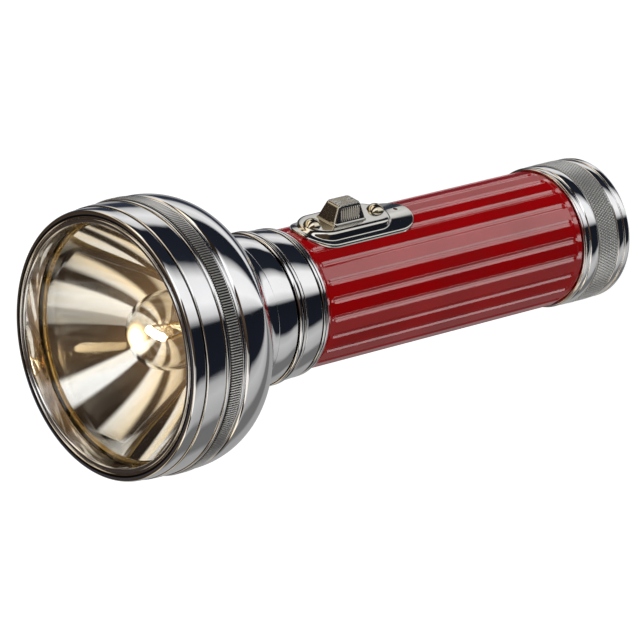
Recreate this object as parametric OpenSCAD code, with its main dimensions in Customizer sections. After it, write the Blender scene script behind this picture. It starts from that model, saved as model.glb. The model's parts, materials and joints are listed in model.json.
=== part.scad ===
// Two-cell flashlight, standing on its tail.
// Origin at the centre of the tail cap's flat end, +Z along the light, switch on the -Y side. Millimetres.

/* [Cells] */
// Diameter of one cell
cell_d = 34.2; // [33:0.1:35.5]
// Length of one cell from its flat base to the top of its nub
cell_len = 61.5; // [59:0.1:64]
// Diameter of a cell's nub
nub_d = 9.4; // [7:0.1:11]
// Height of a cell's nub
nub_h = 2; // [1.5:0.1:3]

/* [Barrel] */
// Radial play of the cells in their liner
cell_play = 0.3; // [0.2:0.05:0.8]
// Wall of the liner
liner_wall = 0.4; // [0.3:0.05:0.6]
// Radial room for the contact strip, between liner and barrel
strip_room = 1.05; // [0.9:0.05:1.6]
// Wall of the barrel over its lands
barrel_wall = 1.8; // [1.05:0.05:2]
// Number of grooves round the barrel
groove_count = 24; // [16:1:36]
// Width of one groove
groove_w = 1.9; // [0.8:0.05:2.2]
// Depth of one groove
groove_depth = 0.5; // [0.3:0.05:0.6]
// Length of the plain band at each end of the barrel
plain_len = 2.2; // [2:0.1:5]
// Depth of the plain bands below the lands
plain_drop = 0.35; // [0.15:0.05:0.4]

/* [Tail cap] */
// Length of the tail cap
cap_len = 19.5; // [17:0.1:24]
// Thickness of the tail cap's end
cap_floor = 1.6; // [1.2:0.1:2.5]
// Wall of the tail cap round its thread
cap_wall = 1; // [0.8:0.05:1.6]
// Height of the rounded edge at the tail cap's end
cap_edge = 2.2; // [1.5:0.1:2.5]
// Length of the tail cap's knurled band
cap_knurl_len = 7.7; // [5:0.1:8]
// Pitch of the tail thread
tail_pitch = 3; // [2:0.1:3.5]
// Length of the ferrule that reaches into the tail cap
ferrule_reach = 13.8; // [12.5:0.1:14.2]
// Length of the ferrule inside the barrel
ferrule_grip = 12; // [8:0.1:20]
// Length of the thread in the tail cap
cap_thread_len = 10.1; // [7:0.1:10.5]
// Installed height of the tail spring
spring_h = 7.9; // [7.5:0.1:9]
// Wire diameter of the tail spring
spring_wire = 1.2; // [0.8:0.05:1.2]
// Turns of the tail spring
spring_turns = 4.5; // [3:0.5:4.5]
// Mean radius of the tail spring's wide end
spring_foot_r = 12.5; // [12:0.1:13.5]
// Mean radius of the tail spring's narrow end
spring_tip_r = 8; // [6:0.1:8]

/* [Neck and bell] */
// Length of the neck collar
collar_len = 19.9; // [18:0.1:23]
// Wall of the neck collar under its rear band
collar_wall = 1.6; // [1.6:0.1:2.4]
// Distance of the collar's double bead from its rear end
bead_place = 9; // [6:0.1:9.1]
// Length of the collar that reaches over the barrel
collar_grip = 12.5; // [10:0.1:13.5]
// Length of the bell from the collar to the bezel
bell_len = 27.2; // [26:0.1:38]
// Length of the bell's rounded rear, along the axis
bell_turn_len = 16; // [14:0.1:19]
// Inward reach of the bell's rounded rear, if it turned through a right angle
bell_turn_r = 12; // [10:0.1:13]
// Sheet thickness of the bell
bell_sheet = 1; // [0.8:0.05:1.3]
// Outside diameter of the threaded spigot at the bell's mouth
spigot_d = 73; // [68:0.1:80]
// Length of the spigot
spigot_len = 8.5; // [8:0.1:12]

/* [Bezel and lens] */
// Wall of the bezel at its smooth band
bezel_wall = 0.95; // [0.8:0.05:1.6]
// Length of the bezel in front of the lens
bezel_nose = 5.5; // [5:0.1:8]
// Width of the bezel's knurled band
bezel_knurl_len = 4.4; // [3:0.1:5]
// Height of the knurled bands above their neighbours
knurl_rise = 0.6; // [0.2:0.05:1]
// Pitch of the bezel thread
bezel_pitch = 2; // [1.5:0.1:2.5]
// Thickness of the lens
lens_t = 2.5; // [2:0.1:4]
// Thickness of the ring under the lens
lens_ring_t = 1.1; // [0.8:0.1:2]
// Width of the lens edge that the bezel covers
lens_cover = 2.5; // [2.2:0.1:4]

/* [Reflector and bulb] */
// Depth of the reflector from its mouth to the vertex of its curve
reflector_depth = 24.1; // [22:0.1:25]
// Sheet thickness of the reflector, measured along the axis
reflector_t = 1; // [0.8:0.05:1.4]
// Radius of the bulb's globe
globe_r = 11; // [9:0.1:11.5]
// Radius of the bulb's glass neck
glass_neck_r = 5.5; // [5:0.1:5.8]
// Wall of the bulb's glass
glass_wall = 0.8; // [0.5:0.05:1]
// Height of the globe's centre above the vertex of the reflector's curve
globe_rise = 9.8; // [9:0.1:11]
// Radius of the bulb's brass shell
base_r = 6.7; // [6.4:0.1:7.2]
// Length of the bulb's brass shell
base_len = 13; // [11:0.1:14]
// Width of the filament between its two wires
filament_w = 6.4; // [5:0.1:8]
// Turns of the filament
filament_turns = 8; // [5:1:8]

/* [Switch] */
// Distance of the switch plate's front end behind the neck collar
plate_back = 4; // [3:0.1:14]
// Length of the switch plate
plate_len = 42.5; // [41:0.1:56]
// Width of the switch plate
plate_w = 18; // [16:0.1:19]
// Thickness of the switch plate's foot over the barrel
plate_t = 0.8; // [0.6:0.1:2]
// Height of the raised deck on the switch plate
deck_h = 1.3; // [1:0.1:2]
// Distance of the front rivet from the plate's front end
rivet_inset = 5.2; // [5:0.1:8]
// Distance between the two rivets
rivet_gap = 24.8; // [24.6:0.1:28]
// Radius of a rivet's head
rivet_r = 2.7; // [2.2:0.1:2.8]
// Length of the button's foot
button_len = 12.4; // [11:0.1:12.6]
// Width of the button's foot
button_w = 8.6; // [8:0.1:10]
// Height of the button above the deck
button_h = 5.3; // [4:0.1:8]
// Distance of the button's foot behind the middle of the front rivet
button_back = 5.2; // [4:0.1:5.4]
// Travel of the button from on to off
switch_travel = 4.1; // [3:0.1:4.3]

/* [Hidden] */
$fn = 96;

// Clearances
press_gap = 0.05;
slide_gap = 0.2;
joint_gap = 0.3;
thread_gap = 0.35;
cut_margin = 1;

// Radii of the barrel, from the cells outwards
cell_r = cell_d / 2;
liner_in_r = cell_r + cell_play;
liner_out_r = liner_in_r + liner_wall;
bore_r = liner_out_r + strip_room;
barrel_r = bore_r + barrel_wall;
plain_r = barrel_r - plain_drop;

// Radii of the tail thread
thread_depth = 0.7;
thread_sides = 36;
ferrule_r = bore_r - press_gap;
ferrule_in_r = liner_out_r + 2 * press_gap;
cap_thread_r = ferrule_r + thread_gap;
cap_thread_wall = 0.5;
cap_bore_r = cap_thread_r + thread_depth + cap_thread_wall;
cap_r = cap_bore_r + cap_wall;

// Heights of the tail end and the cells
spring_plate_t = 0.6;
spring_plate_z = cap_floor + press_gap;
spring_z = spring_plate_z + spring_plate_t;
rear_cell_z = spring_z + spring_h;
spring_line = winding(
    spring_turns, spring_foot_r, spring_tip_r,
    spring_z + spring_wire / 2 + press_gap, rear_cell_z - spring_wire / 2 - 2 * press_gap
);
front_cell_z = rear_cell_z + cell_len;
cells_top = front_cell_z + cell_len;
cap_thread_inset = 0.9;
cap_thread_z = [cap_len - cap_thread_inset - cap_thread_len, cap_len - cap_thread_inset];
barrel_z0 = cap_len + joint_gap;
ferrule_z0 = barrel_z0 - ferrule_reach;
ferrule_root_z = barrel_z0 - joint_gap;
ferrule_z1 = barrel_z0 + ferrule_grip;

// Heights of the barrel, the neck and the bell
barrel_front_room = 2.8;
barrel_z1 = cells_top + barrel_front_room;
collar_z0 = barrel_z1 - collar_grip;
collar_z1 = collar_z0 + collar_len;
bell_z1 = collar_z1 + bell_len;
spigot_z1 = bell_z1 + spigot_len;

// Radii of the neck
collar_bore_r = plain_r + press_gap;
collar_r = collar_bore_r + collar_wall;
sleeve_r = collar_r - 0.3;
collar_bead_h = 0.75;
collar_front_r = collar_r + 0.6;

// Radii of the head, from the spigot outwards
spigot_r = spigot_d / 2;
spigot_wall = 0.9;
lens_lap = 0.9;
head_thread_r = spigot_r + 0.35;
bezel_thread_r = head_thread_r + thread_gap;
bezel_bore_r = bezel_thread_r + thread_depth + 0.35;
bezel_r = bezel_bore_r + bezel_wall;
bell_r = bezel_r + 0.35;
lens_r = spigot_r + lens_lap;
mouth_r = lens_r - lens_cover;

// Heights of the lens stack and the bezel
reflector_flange_t = 0.8;
reflector_z1 = spigot_z1 + press_gap + reflector_flange_t;
lens_ring_z = reflector_z1 + press_gap;
lens_z = lens_ring_z + lens_ring_t + press_gap;
lens_z1 = lens_z + lens_t;
bezel_z0 = bell_z1 + joint_gap;
bezel_seat_z = lens_z1 + press_gap;
bezel_z1 = bezel_seat_z + bezel_nose;

// Heights and radii of the bulb and its socket
bulb_tip_h = 1.2;
bulb_tip_r = 2.2;
bulb_insulator_h = 2.6;
bulb_tip_z = cells_top + press_gap;
bulb_insulator_z = bulb_tip_z + bulb_tip_h;
base_z0 = bulb_insulator_z + bulb_insulator_h;
base_z1 = base_z0 + base_len;
base_rim_t = 0.8;
base_rim_r = base_r + 0.9;
disc_z = barrel_z1 - 2;
disc_t = 4;
socket_plate_z = disc_z + disc_t;
socket_plate_t = 0.8;
socket_z0 = socket_plate_z + socket_plate_t;
socket_z1 = base_z1 - base_rim_t - press_gap;
socket_in_r = base_r + 0.15;
socket_r = socket_in_r + 0.85;
reflector_hole_r = socket_r + 0.1;
reflector_collar_wall = 0.9;
reflector_grip = 6;
reflector_mouth_r = spigot_r - spigot_wall - 1.6;
reflector_vertex_z = reflector_z1 - reflector_depth;
globe_z = reflector_vertex_z + globe_rise;
stem_h = 7.5;
stem_r = 3.2;
lead_r = 0.3;
filament_z = globe_z + 4;
filament_wire = 0.3;
filament_r = 0.8;
filament_line = winding(filament_turns, filament_r, filament_r, -filament_w / 2, filament_w / 2);

// Places of the switch, from its front end backwards
plate_z1 = collar_z0 - plate_back;
plate_z0 = plate_z1 - plate_len;
front_rivet_z = plate_z1 - rivet_inset;
rear_rivet_z = front_rivet_z - rivet_gap;
rivet_shank_r = 1.2;
button_z1 = front_rivet_z - button_back;
button_z0 = button_z1 - button_len;
foot_y = barrel_r + plate_t;
plate_in_y = sqrt(pow(barrel_r, 2) - pow(plate_w / 2, 2)) - press_gap;
deck_y = foot_y + deck_h;
button_y = deck_y + slide_gap;
shank_len = 5;
shank_w = 2.8;
shank_z0 = (button_z0 + button_z1 - shank_len) / 2;
slot_gap = 0.4;
strip_t = 0.4;
strip_w = 5;
strip_y = liner_out_r + 0.35;
strip_z1 = socket_z0 + 0.5;
socket_plate_r = strip_y - 2 * press_gap;

// Points of an arc about [r, z], from angle a0 to a1
function arc(r, z, radius, a0, a1, steps = 8) =
    [for (i = [0 : steps]) let (a = a0 + (a1 - a0) * i / steps) [r + radius * cos(a), z + radius * sin(a)]];

// Points of a shallow bulge of height h on radius r, between two heights
function bulge(r, z0, z1, h, steps = 6) =
    [for (i = [0 : steps]) let (t = i / steps) [r + h * (1 - pow(2 * t - 1, 2)), z0 + (z1 - z0) * t]];

// Height of the reflecting surface at radius r
function reflector_height(r) = reflector_vertex_z + reflector_depth * pow(r / reflector_mouth_r, 2);

// Sleeve between two radii and two heights
module sleeve(r_out, r_in, z0, z1) {
    difference() {
        translate([0, 0, z0]) cylinder(r = r_out, h = z1 - z0);
        translate([0, 0, z0 - cut_margin]) cylinder(r = r_in, h = z1 - z0 + 2 * cut_margin);
    }
}

// Share of the full thread depth at height z: it fades out over one lead-in at each end
function thread_share(z, span) =
    let (lead_in = 1.2, t = min((z - span[0]) / lead_in, (span[1] - z) / lead_in, 1)) max(t, 0);

// Radius of the ridge above the thread's root, a smooth wave that climbs one pitch a turn
function thread_wave(a, z, pitch) = thread_depth * (1 + cos(360 * z / pitch - a)) / 2;

// Closed ring whose wall_r(a, z) side is a thread; back_r is the radius of its plain side's corners
module thread_ring(heights, back_r, sides, wall_r, outside) {
    rows = len(heights);
    wall = [for (z = heights, k = [0 : sides - 1])
        let (a = 360 * k / sides, r = wall_r(a, z)) [r * cos(a), r * sin(a), z]];
    back = [for (z = [heights[0], heights[rows - 1]], k = [0 : sides - 1])
        let (a = 360 * k / sides) [back_r * cos(a), back_r * sin(a), z]];
    last = rows * sides;
    // Rings in order round the section: up the wall, then down the back
    order = concat([for (i = [0 : rows - 1]) i * sides], [last + sides, last]);
    count = len(order);
    faces = [for (i = [0 : count - 1], k = [0 : sides - 1], half = [0, 1])
        let (p = order[i], q = order[(i + 1) % count], n = (k + 1) % sides)
        half == 0 ? [p + k, q + k, q + n] : [p + k, q + n, p + n]];
    turned = [for (f = faces) [f[2], f[1], f[0]]];
    polyhedron(points = concat(wall, back), faces = outside ? faces : turned);
}

// Heights of a thread's rows, eight to a pitch
function thread_rows(span, pitch) =
    let (n = ceil((span[1] - span[0]) / pitch * 8)) [for (i = [0 : n]) span[0] + (span[1] - span[0]) * i / n];

// Outer thread on a root radius, with plain wall up to an optional further height; its bore clears bore_r
module outer_thread(root_r, bore_r, span, pitch, plain_to) {
    heights = concat(thread_rows(span, pitch), plain_to > span[1] ? [plain_to] : []);
    wall = function (a, z) root_r + thread_share(z, span) * thread_wave(a, z, pitch);
    thread_ring(heights, bore_r / cos(180 / thread_sides), thread_sides, wall, true);
}

// Inner thread that follows the outer one at a clearance, widening at both ends
module inner_thread(root_r, back_r, span, pitch) {
    wall = function (a, z)
        root_r + thread_depth - thread_share(z, span) * (thread_depth - thread_wave(a, z, pitch));
    thread_ring(thread_rows(span, pitch), back_r, thread_sides, wall, false);
}

// Centre line of a wound wire: angle in turns, radius and height run evenly from one end to the other
function winding(turns, r0, r1, z0, z1) =
    let (n = turns * 8)
    [for (i = [0 : n]) let (t = i / n, a = 360 * turns * t, r = r0 + (r1 - r0) * t)
        [r * cos(a), r * sin(a), z0 + (z1 - z0) * t]];

// Least gap between two stretches of a wound wire that are most of a turn apart
function winding_gap(line, wire) =
    min([for (i = [0 : len(line) - 1], j = [i + 6 : 1 : len(line) - 1]) norm(line[i] - line[j])]) - wire;

function unit(v) = v / norm(v);

// Wire of a given diameter along a wound line, with a straight end one diameter long at each end
module wound_wire(line, wire) {
    sides = 6;
    n = len(line);
    first = unit(line[1] - line[0]);
    final = unit(line[n - 1] - line[n - 2]);
    path = concat([line[0] - first * wire], line, [line[n - 1] + final * wire]);
    m = len(path);
    points = [for (i = [0 : m - 1], k = [0 : sides - 1])
        let (
            run = unit(path[min(i + 1, m - 1)] - path[max(i - 1, 0)]),
            spot = line[min(max(i - 1, 0), n - 1)],
            out = unit([spot[0], spot[1], 0]),
            side = unit(cross(run, out)),
            face = cross(side, run),
            a = 360 * k / sides
        ) path[i] + wire / 2 * (cos(a) * face + sin(a) * side)];
    skin = [for (i = [0 : m - 2], k = [0 : sides - 1], half = [0, 1])
        let (p = i * sides, q = p + sides, j = (k + 1) % sides)
        half == 0 ? [p + k, p + j, q + j] : [p + k, q + j, q + k]];
    top = (m - 1) * sides;
    ends = [for (k = [1 : sides - 2], half = [0, 1]) half == 0 ? [0, k + 1, k] : [top, top + k, top + k + 1]];
    polyhedron(points = points, faces = concat(skin, ends));
}

// Round-ended bar seen from the switch side, between two depths below the -Y face
module switch_bar(z0, z1, width, y_in, y_out) {
    r = width / 2;
    translate([0, -y_in, 0]) rotate([90, 0, 0]) linear_extrude(y_out - y_in) {
        translate([0, z0 + r]) circle(r);
        translate([0, z1 - r]) circle(r);
        translate([-r, z0 + r]) square([width, z1 - z0 - width]);
    }
}

// Round-ended deck with sloping sides
module switch_deck(z0, z1, width, y_in, y_out, slope) {
    r = width / 2;
    for (z = [z0 + r, z1 - r])
        translate([0, -y_in, z]) rotate([90, 0, 0]) cylinder(r1 = r, r2 = r - slope, h = y_out - y_in);
    translate([0, 0, z0 + r]) linear_extrude(z1 - z0 - width)
        polygon([[-r, -y_in], [r, -y_in], [r - slope, -y_out], [slope - r, -y_out]]);
}

// Block with four sloping sides on the switch side: foot and top lengths, foot and top widths
module sloping_block(z0, z1, width, y_in, y_out, end_slope, side_slope) {
    r = width / 2;
    intersection() {
        translate([0, 0, z0]) linear_extrude(z1 - z0)
            polygon([[-r, -y_in], [r, -y_in], [r - side_slope, -y_out], [side_slope - r, -y_out]]);
        translate([-r, 0, 0]) rotate([90, 0, 90]) linear_extrude(width)
            polygon([[-y_in, z0], [-y_in, z1], [-y_out, z1 - end_slope], [-y_out, z0 + end_slope]]);
    }
}

// Window that the button's shank slides in
module shank_window(y_in, y_out) {
    z0 = shank_z0 - switch_travel - slot_gap;
    z1 = shank_z0 + shank_len + slot_gap;
    translate([-shank_w / 2 - slot_gap, -y_out, z0]) cube([shank_w + 2 * slot_gap, y_out - y_in, z1 - z0]);
}

// Holes for the two rivets
module rivet_holes(y_in, y_out) {
    for (z = [front_rivet_z, rear_rivet_z])
        translate([0, -y_in, z]) rotate([90, 0, 0]) cylinder(r = rivet_shank_r + press_gap, h = y_out - y_in);
}

module bezel_ring() {
    ramp = 0.25;
    foot_r = bezel_r + 0.1;
    foot_h = 1.2;
    ridge_r = bezel_r + knurl_rise;
    border_w = 0.85;
    border_h = 0.3;
    band_r = bezel_r - 0.1;
    band_h = 0.2;
    seam_r = bezel_r - 0.6;
    seam_w = 0.25;
    crest_r = bezel_r - 0.35;
    nose_r = 1.9;
    lip_r = 0.9;
    knurl_z = bezel_z0 + foot_h;
    knurl_z1 = knurl_z + bezel_knurl_len;
    border_z1 = knurl_z1 + ramp + border_w;
    seam_z = bezel_z1 - 4.6;
    outline = concat(
        [[bezel_bore_r, bezel_z0]],
        bulge(foot_r, bezel_z0, knurl_z - ramp, ramp),
        [[foot_r, knurl_z], [ridge_r, knurl_z + ramp]],
        [[ridge_r, knurl_z1 - ramp], [foot_r, knurl_z1]],
        bulge(bezel_r, knurl_z1 + ramp, border_z1, border_h),
        bulge(band_r, border_z1 + band_h, seam_z, band_h),
        [[seam_r, seam_z + seam_w / 2], [seam_r, seam_z + 3 * seam_w / 2]],
        [[crest_r, seam_z + 3 * seam_w], [crest_r - 0.1, bezel_z1 - 1.3 * nose_r]],
        arc(crest_r - 0.15 - nose_r, bezel_z1 - nose_r, nose_r, 5, 90),
        arc(mouth_r + lip_r, bezel_z1 - lip_r, lip_r, 90, 180, 4),
        [[mouth_r, bezel_seat_z], [bezel_bore_r, bezel_seat_z]]
    );
    color("gainsboro") rotate_extrude() polygon(outline);
}

module bezel_thread() {
    span = [bezel_z0 + 0.5, spigot_z1 - 0.6];
    color("darkgray") inner_thread(bezel_thread_r, bezel_bore_r - press_gap, span, bezel_pitch);
}

module lens() {
    bevel = 0.4;
    color([0.85, 0.92, 0.95, 0.4]) rotate_extrude() polygon([
        [0, lens_z], [lens_r - bevel, lens_z], [lens_r, lens_z + bevel],
        [lens_r, lens_z1 - bevel], [lens_r - bevel, lens_z1], [0, lens_z1]
    ]);
}

module lens_ring() {
    color("goldenrod") sleeve(lens_r, reflector_mouth_r + 0.4, lens_ring_z, lens_ring_z + lens_ring_t);
}

module reflector() {
    steps = 20;
    collar_r = reflector_hole_r + reflector_collar_wall;
    radii = [for (i = [0 : steps]) reflector_hole_r + (reflector_mouth_r - reflector_hole_r) * i / steps];
    backs = [for (i = [0 : steps]) reflector_mouth_r + (collar_r - reflector_mouth_r) * i / steps];
    collar_z = socket_z1 - reflector_grip;
    flange_r = spigot_r + 0.4;
    flange_z = reflector_z1 - reflector_flange_t;
    outline = concat(
        [[reflector_hole_r, collar_z]],
        [for (r = radii) [r, reflector_height(r)]],
        [[flange_r, reflector_z1], [flange_r, flange_z], [reflector_mouth_r + 0.4, flange_z]],
        [for (r = backs) [r, reflector_height(r) - reflector_t]],
        [[collar_r, collar_z]]
    );
    color("whitesmoke") rotate_extrude() polygon(outline);
}

module bulb_glass() {
    meet = -acos(glass_neck_r / globe_r);
    inner_r = globe_r - glass_wall;
    inner_neck = glass_neck_r - glass_wall;
    inner_meet = -acos(inner_neck / inner_r);
    foot_z = base_z1 + press_gap;
    outline = concat(
        [[inner_neck, foot_z], [glass_neck_r, foot_z]],
        arc(0, globe_z, globe_r, meet, 90, 24),
        arc(0, globe_z, inner_r, 90, inner_meet, 24)
    );
    color([0.95, 0.97, 1, 0.35]) rotate_extrude() polygon(outline);
}

module bulb_stem() {
    foot_z = base_z1 + press_gap;
    color([0.9, 0.95, 0.95, 0.5]) rotate_extrude() polygon([
        [0, foot_z], [glass_neck_r - glass_wall - slide_gap, foot_z], [stem_r, foot_z + 2],
        [stem_r, foot_z + stem_h - 0.8], [stem_r - 0.8, foot_z + stem_h], [0, foot_z + stem_h]
    ]);
}

module lead_wires() {
    foot_z = base_z1 + press_gap + stem_h + press_gap;
    foot_x = stem_r - 1.4;
    tip_x = filament_w / 2 + 0.9;
    rise = filament_z - foot_z;
    lean = atan2(tip_x - foot_x, rise);
    color("goldenrod") for (s = [-1, 1])
        translate([s * foot_x, 0, foot_z]) rotate([0, s * lean, 0])
            cylinder(r = lead_r, h = norm([tip_x - foot_x, rise]));
}

module filament() {
    color("khaki") translate([0, 0, filament_z]) rotate([0, 90, 0]) wound_wire(filament_line, filament_wire);
}

module bulb_base() {
    color("goldenrod") {
        translate([0, 0, base_z0]) cylinder(r = base_r, h = base_len - base_rim_t);
        translate([0, 0, base_z1 - base_rim_t]) cylinder(r = base_rim_r, h = base_rim_t);
    }
}

module bulb_insulator() {
    color("black") translate([0, 0, bulb_insulator_z])
        cylinder(r1 = bulb_tip_r + 0.4, r2 = base_r - 0.6, h = bulb_insulator_h);
}

module bulb_tip() {
    color("silver") translate([0, 0, bulb_tip_z])
        cylinder(r1 = bulb_tip_r - 0.8, r2 = bulb_tip_r, h = bulb_tip_h);
}

module bulb_socket() {
    color("darkgoldenrod") sleeve(socket_r, socket_in_r, socket_z0, socket_z1);
}

module socket_plate() {
    color("goldenrod") sleeve(socket_plate_r, socket_in_r, socket_plate_z, socket_z0);
}

module insulating_disc() {
    color("saddlebrown") sleeve(liner_out_r, base_r + 0.8, disc_z, socket_plate_z);
}

// Quarter-ellipse bell from the collar to its widest place, then a shoulder and the threaded spigot
// Bell's curve from its foot up: a hollow quadratic sweep that runs on into the rounded rear, a part of an
// ellipse about the widest place. A sheet's inside lies inset behind its outside
function bell_curve(foot, sweep_z, inset) =
    let (fall = 70, steps = 18, cove_steps = 10)
    let (reach = bell_turn_r - inset, run = bell_turn_len - inset, centre_r = bell_r - bell_turn_r)
    let (end = [centre_r + reach * cos(fall), sweep_z - run * sin(fall)])
    let (middle = [foot[0], end[1] - (end[0] - foot[0]) * run * cos(fall) / (reach * sin(fall))])
    concat(
        [for (i = [0 : cove_steps - 1]) let (t = i / cove_steps)
            pow(1 - t, 2) * foot + 2 * t * (1 - t) * middle + pow(t, 2) * end],
        [for (i = [0 : steps]) let (a = fall * (1 - i / steps))
            [centre_r + reach * cos(a), sweep_z - run * sin(a)]]
    );

module head_shell() {
    round_r = 1.2;
    sweep_z = bell_z1 - round_r;
    foot = [collar_front_r + 0.5, collar_z1 + 1.6];
    outside = bell_curve(foot, sweep_z, 0);
    inside = bell_curve(foot - [bell_sheet, 0], sweep_z, bell_sheet);
    sleeve_z = barrel_z1 + joint_gap;
    inner_r = sleeve_r - bell_sheet;
    outline = concat(
        [[inner_r, sleeve_z], [sleeve_r, sleeve_z], [sleeve_r, collar_z1 + press_gap]],
        [[collar_front_r - 0.2, collar_z1 + press_gap], [collar_front_r + 0.1, collar_z1 + 0.6]],
        outside,
        arc(bell_r - round_r, sweep_z, round_r, 0, 90, 5),
        [[spigot_r, bell_z1], [spigot_r, spigot_z1], [spigot_r - spigot_wall, spigot_z1]],
        [[spigot_r - spigot_wall, bell_z1 - bell_sheet], [bell_r - bell_sheet, bell_z1 - bell_sheet]],
        [for (i = [len(inside) - 1 : -1 : 0]) inside[i]],
        [[inner_r, foot[1]]]
    );
    color("gainsboro") rotate_extrude() polygon(outline);
}

module head_thread() {
    span = [bell_z1 + 0.5, spigot_z1 - 0.6];
    color("darkgray") outer_thread(head_thread_r, spigot_r + press_gap, span, bezel_pitch, 0);
}

module neck_collar() {
    seam = 0.15;
    lip_w = 2;
    lip_r = collar_r - 0.5;
    lip_h = 0.4;
    groove_r = collar_r - 0.6;
    band_r = collar_r - 0.1;
    bead_w = 1.2;
    bead_step = bead_w + 0.2;
    front_r = collar_front_r - 0.3;
    front_h = 0.3;
    lip_z = collar_z0 + lip_w;
    bead_z = collar_z0 + bead_place;
    beads_z1 = bead_z + bead_step + bead_w;
    step_z = barrel_z1 + press_gap;
    outline = concat(
        [[collar_bore_r, collar_z0]],
        bulge(lip_r, collar_z0, lip_z, lip_h),
        [[groove_r, lip_z + seam], [groove_r, lip_z + 3 * seam]],
        bulge(band_r, lip_z + 4 * seam, bead_z - 4 * seam, seam),
        [[groove_r, bead_z - 3 * seam], [groove_r, bead_z - seam]],
        bulge(band_r, bead_z, bead_z + bead_w, collar_bead_h),
        bulge(band_r, bead_z + bead_step, beads_z1, collar_bead_h),
        [[groove_r, beads_z1 + seam], [groove_r, beads_z1 + 4 * seam]],
        bulge(front_r, beads_z1 + 6 * seam, collar_z1, front_h),
        [[sleeve_r + press_gap, collar_z1], [sleeve_r + press_gap, step_z], [collar_bore_r, step_z]]
    );
    color("gainsboro") rotate_extrude() polygon(outline);
}

module body_tube() {
    land_z0 = barrel_z0 + plain_len;
    land_z1 = collar_z0 - plain_len;
    edge = 0.4;
    groove_end = 1.6;
    groove_r = (pow(groove_w / 2, 2) + pow(groove_depth, 2)) / (2 * groove_depth);
    groove_x = barrel_r + groove_r - groove_depth;
    color("firebrick") difference() {
        rotate_extrude() polygon([
            [bore_r, barrel_z0], [plain_r, barrel_z0], [plain_r, land_z0 - edge], [barrel_r, land_z0],
            [barrel_r, land_z1], [plain_r, land_z1 + edge], [plain_r, barrel_z1], [bore_r, barrel_z1]
        ]);
        for (i = [0 : groove_count - 1]) rotate([0, 0, 360 * (i + 0.5) / groove_count - 90])
            translate([groove_x, 0, 0]) {
                translate([0, 0, land_z0 + groove_end])
                    cylinder(r = groove_r, h = land_z1 - land_z0 - 2 * groove_end);
                for (z = [land_z0 + groove_end, land_z1 - groove_end]) translate([0, 0, z]) sphere(groove_r);
            }
        shank_window(bore_r - cut_margin, barrel_r + cut_margin);
        rivet_holes(bore_r - cut_margin, barrel_r + cut_margin);
    }
}

module cell_liner() {
    color("wheat") sleeve(liner_out_r, liner_in_r, rear_cell_z - cut_margin, disc_z - press_gap);
}

// Cell without its nub: a can with a rounded shoulder
module cell_can(z) {
    edge = 1.2;
    can_len = cell_len - nub_h;
    rotate_extrude() polygon([
        [0, z], [cell_r - edge / 2, z], [cell_r, z + edge / 2],
        [cell_r, z + can_len - edge], [cell_r - edge, z + can_len], [0, z + can_len]
    ]);
}

module cell_nub(z) {
    edge = 0.5;
    foot_z = z + cell_len - nub_h;
    rotate_extrude() polygon([
        [0, foot_z], [nub_d / 2, foot_z], [nub_d / 2, foot_z + nub_h - edge],
        [nub_d / 2 - edge, foot_z + nub_h], [0, foot_z + nub_h]
    ]);
}

module front_cell() {
    color("royalblue") cell_can(front_cell_z);
}

module front_cell_nub() {
    color("silver") cell_nub(front_cell_z);
}

module rear_cell() {
    color("royalblue") cell_can(rear_cell_z);
}

module rear_cell_nub() {
    color("silver") cell_nub(rear_cell_z);
}

module switch_plate() {
    pin_hole_r = 0.7;
    deck_edge = 1.6;
    deck_w = plate_w - 3.4;
    deck_slope = 0.8;
    deck_end = rear_rivet_z - rivet_r - 1.2;
    color("gainsboro") difference() {
        union() {
            switch_bar(plate_z0, plate_z1, plate_w, plate_in_y, foot_y);
            switch_deck(deck_end, plate_z1 - deck_edge, deck_w, foot_y - press_gap, deck_y, deck_slope);
        }
        translate([0, 0, plate_z0 - cut_margin])
            cylinder(r = barrel_r + press_gap, h = plate_len + 2 * cut_margin);
        shank_window(bore_r, deck_y + cut_margin);
        rivet_holes(bore_r, deck_y + cut_margin);
        translate([0, -bore_r, (plate_z0 + deck_end) / 2]) rotate([90, 0, 0])
            cylinder(r = pin_hole_r, h = plate_w);
    }
}

module switch_rivets() {
    dome_h = 1.9;
    dome_r = (pow(rivet_r, 2) + pow(dome_h, 2)) / (2 * dome_h);
    crown_hole_r = 0.5;
    crown_hole_depth = 0.7;
    head_y = deck_y + press_gap;
    color("silver") for (z = [front_rivet_z, rear_rivet_z]) translate([0, 0, z]) difference() {
        union() {
            intersection() {
                translate([0, dome_r - dome_h - head_y, 0]) sphere(dome_r);
                translate([0, -head_y, 0]) rotate([90, 0, 0])
                    cylinder(r = rivet_r + cut_margin, h = 2 * dome_h);
            }
            translate([0, -bore_r - press_gap, 0]) rotate([90, 0, 0])
                cylinder(r = rivet_shank_r, h = head_y - bore_r - press_gap / 2);
        }
        translate([0, -head_y - dome_h - cut_margin, 0]) rotate([-90, 0, 0])
            cylinder(r = crown_hole_r, h = cut_margin + crown_hole_depth);
    }
}

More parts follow.
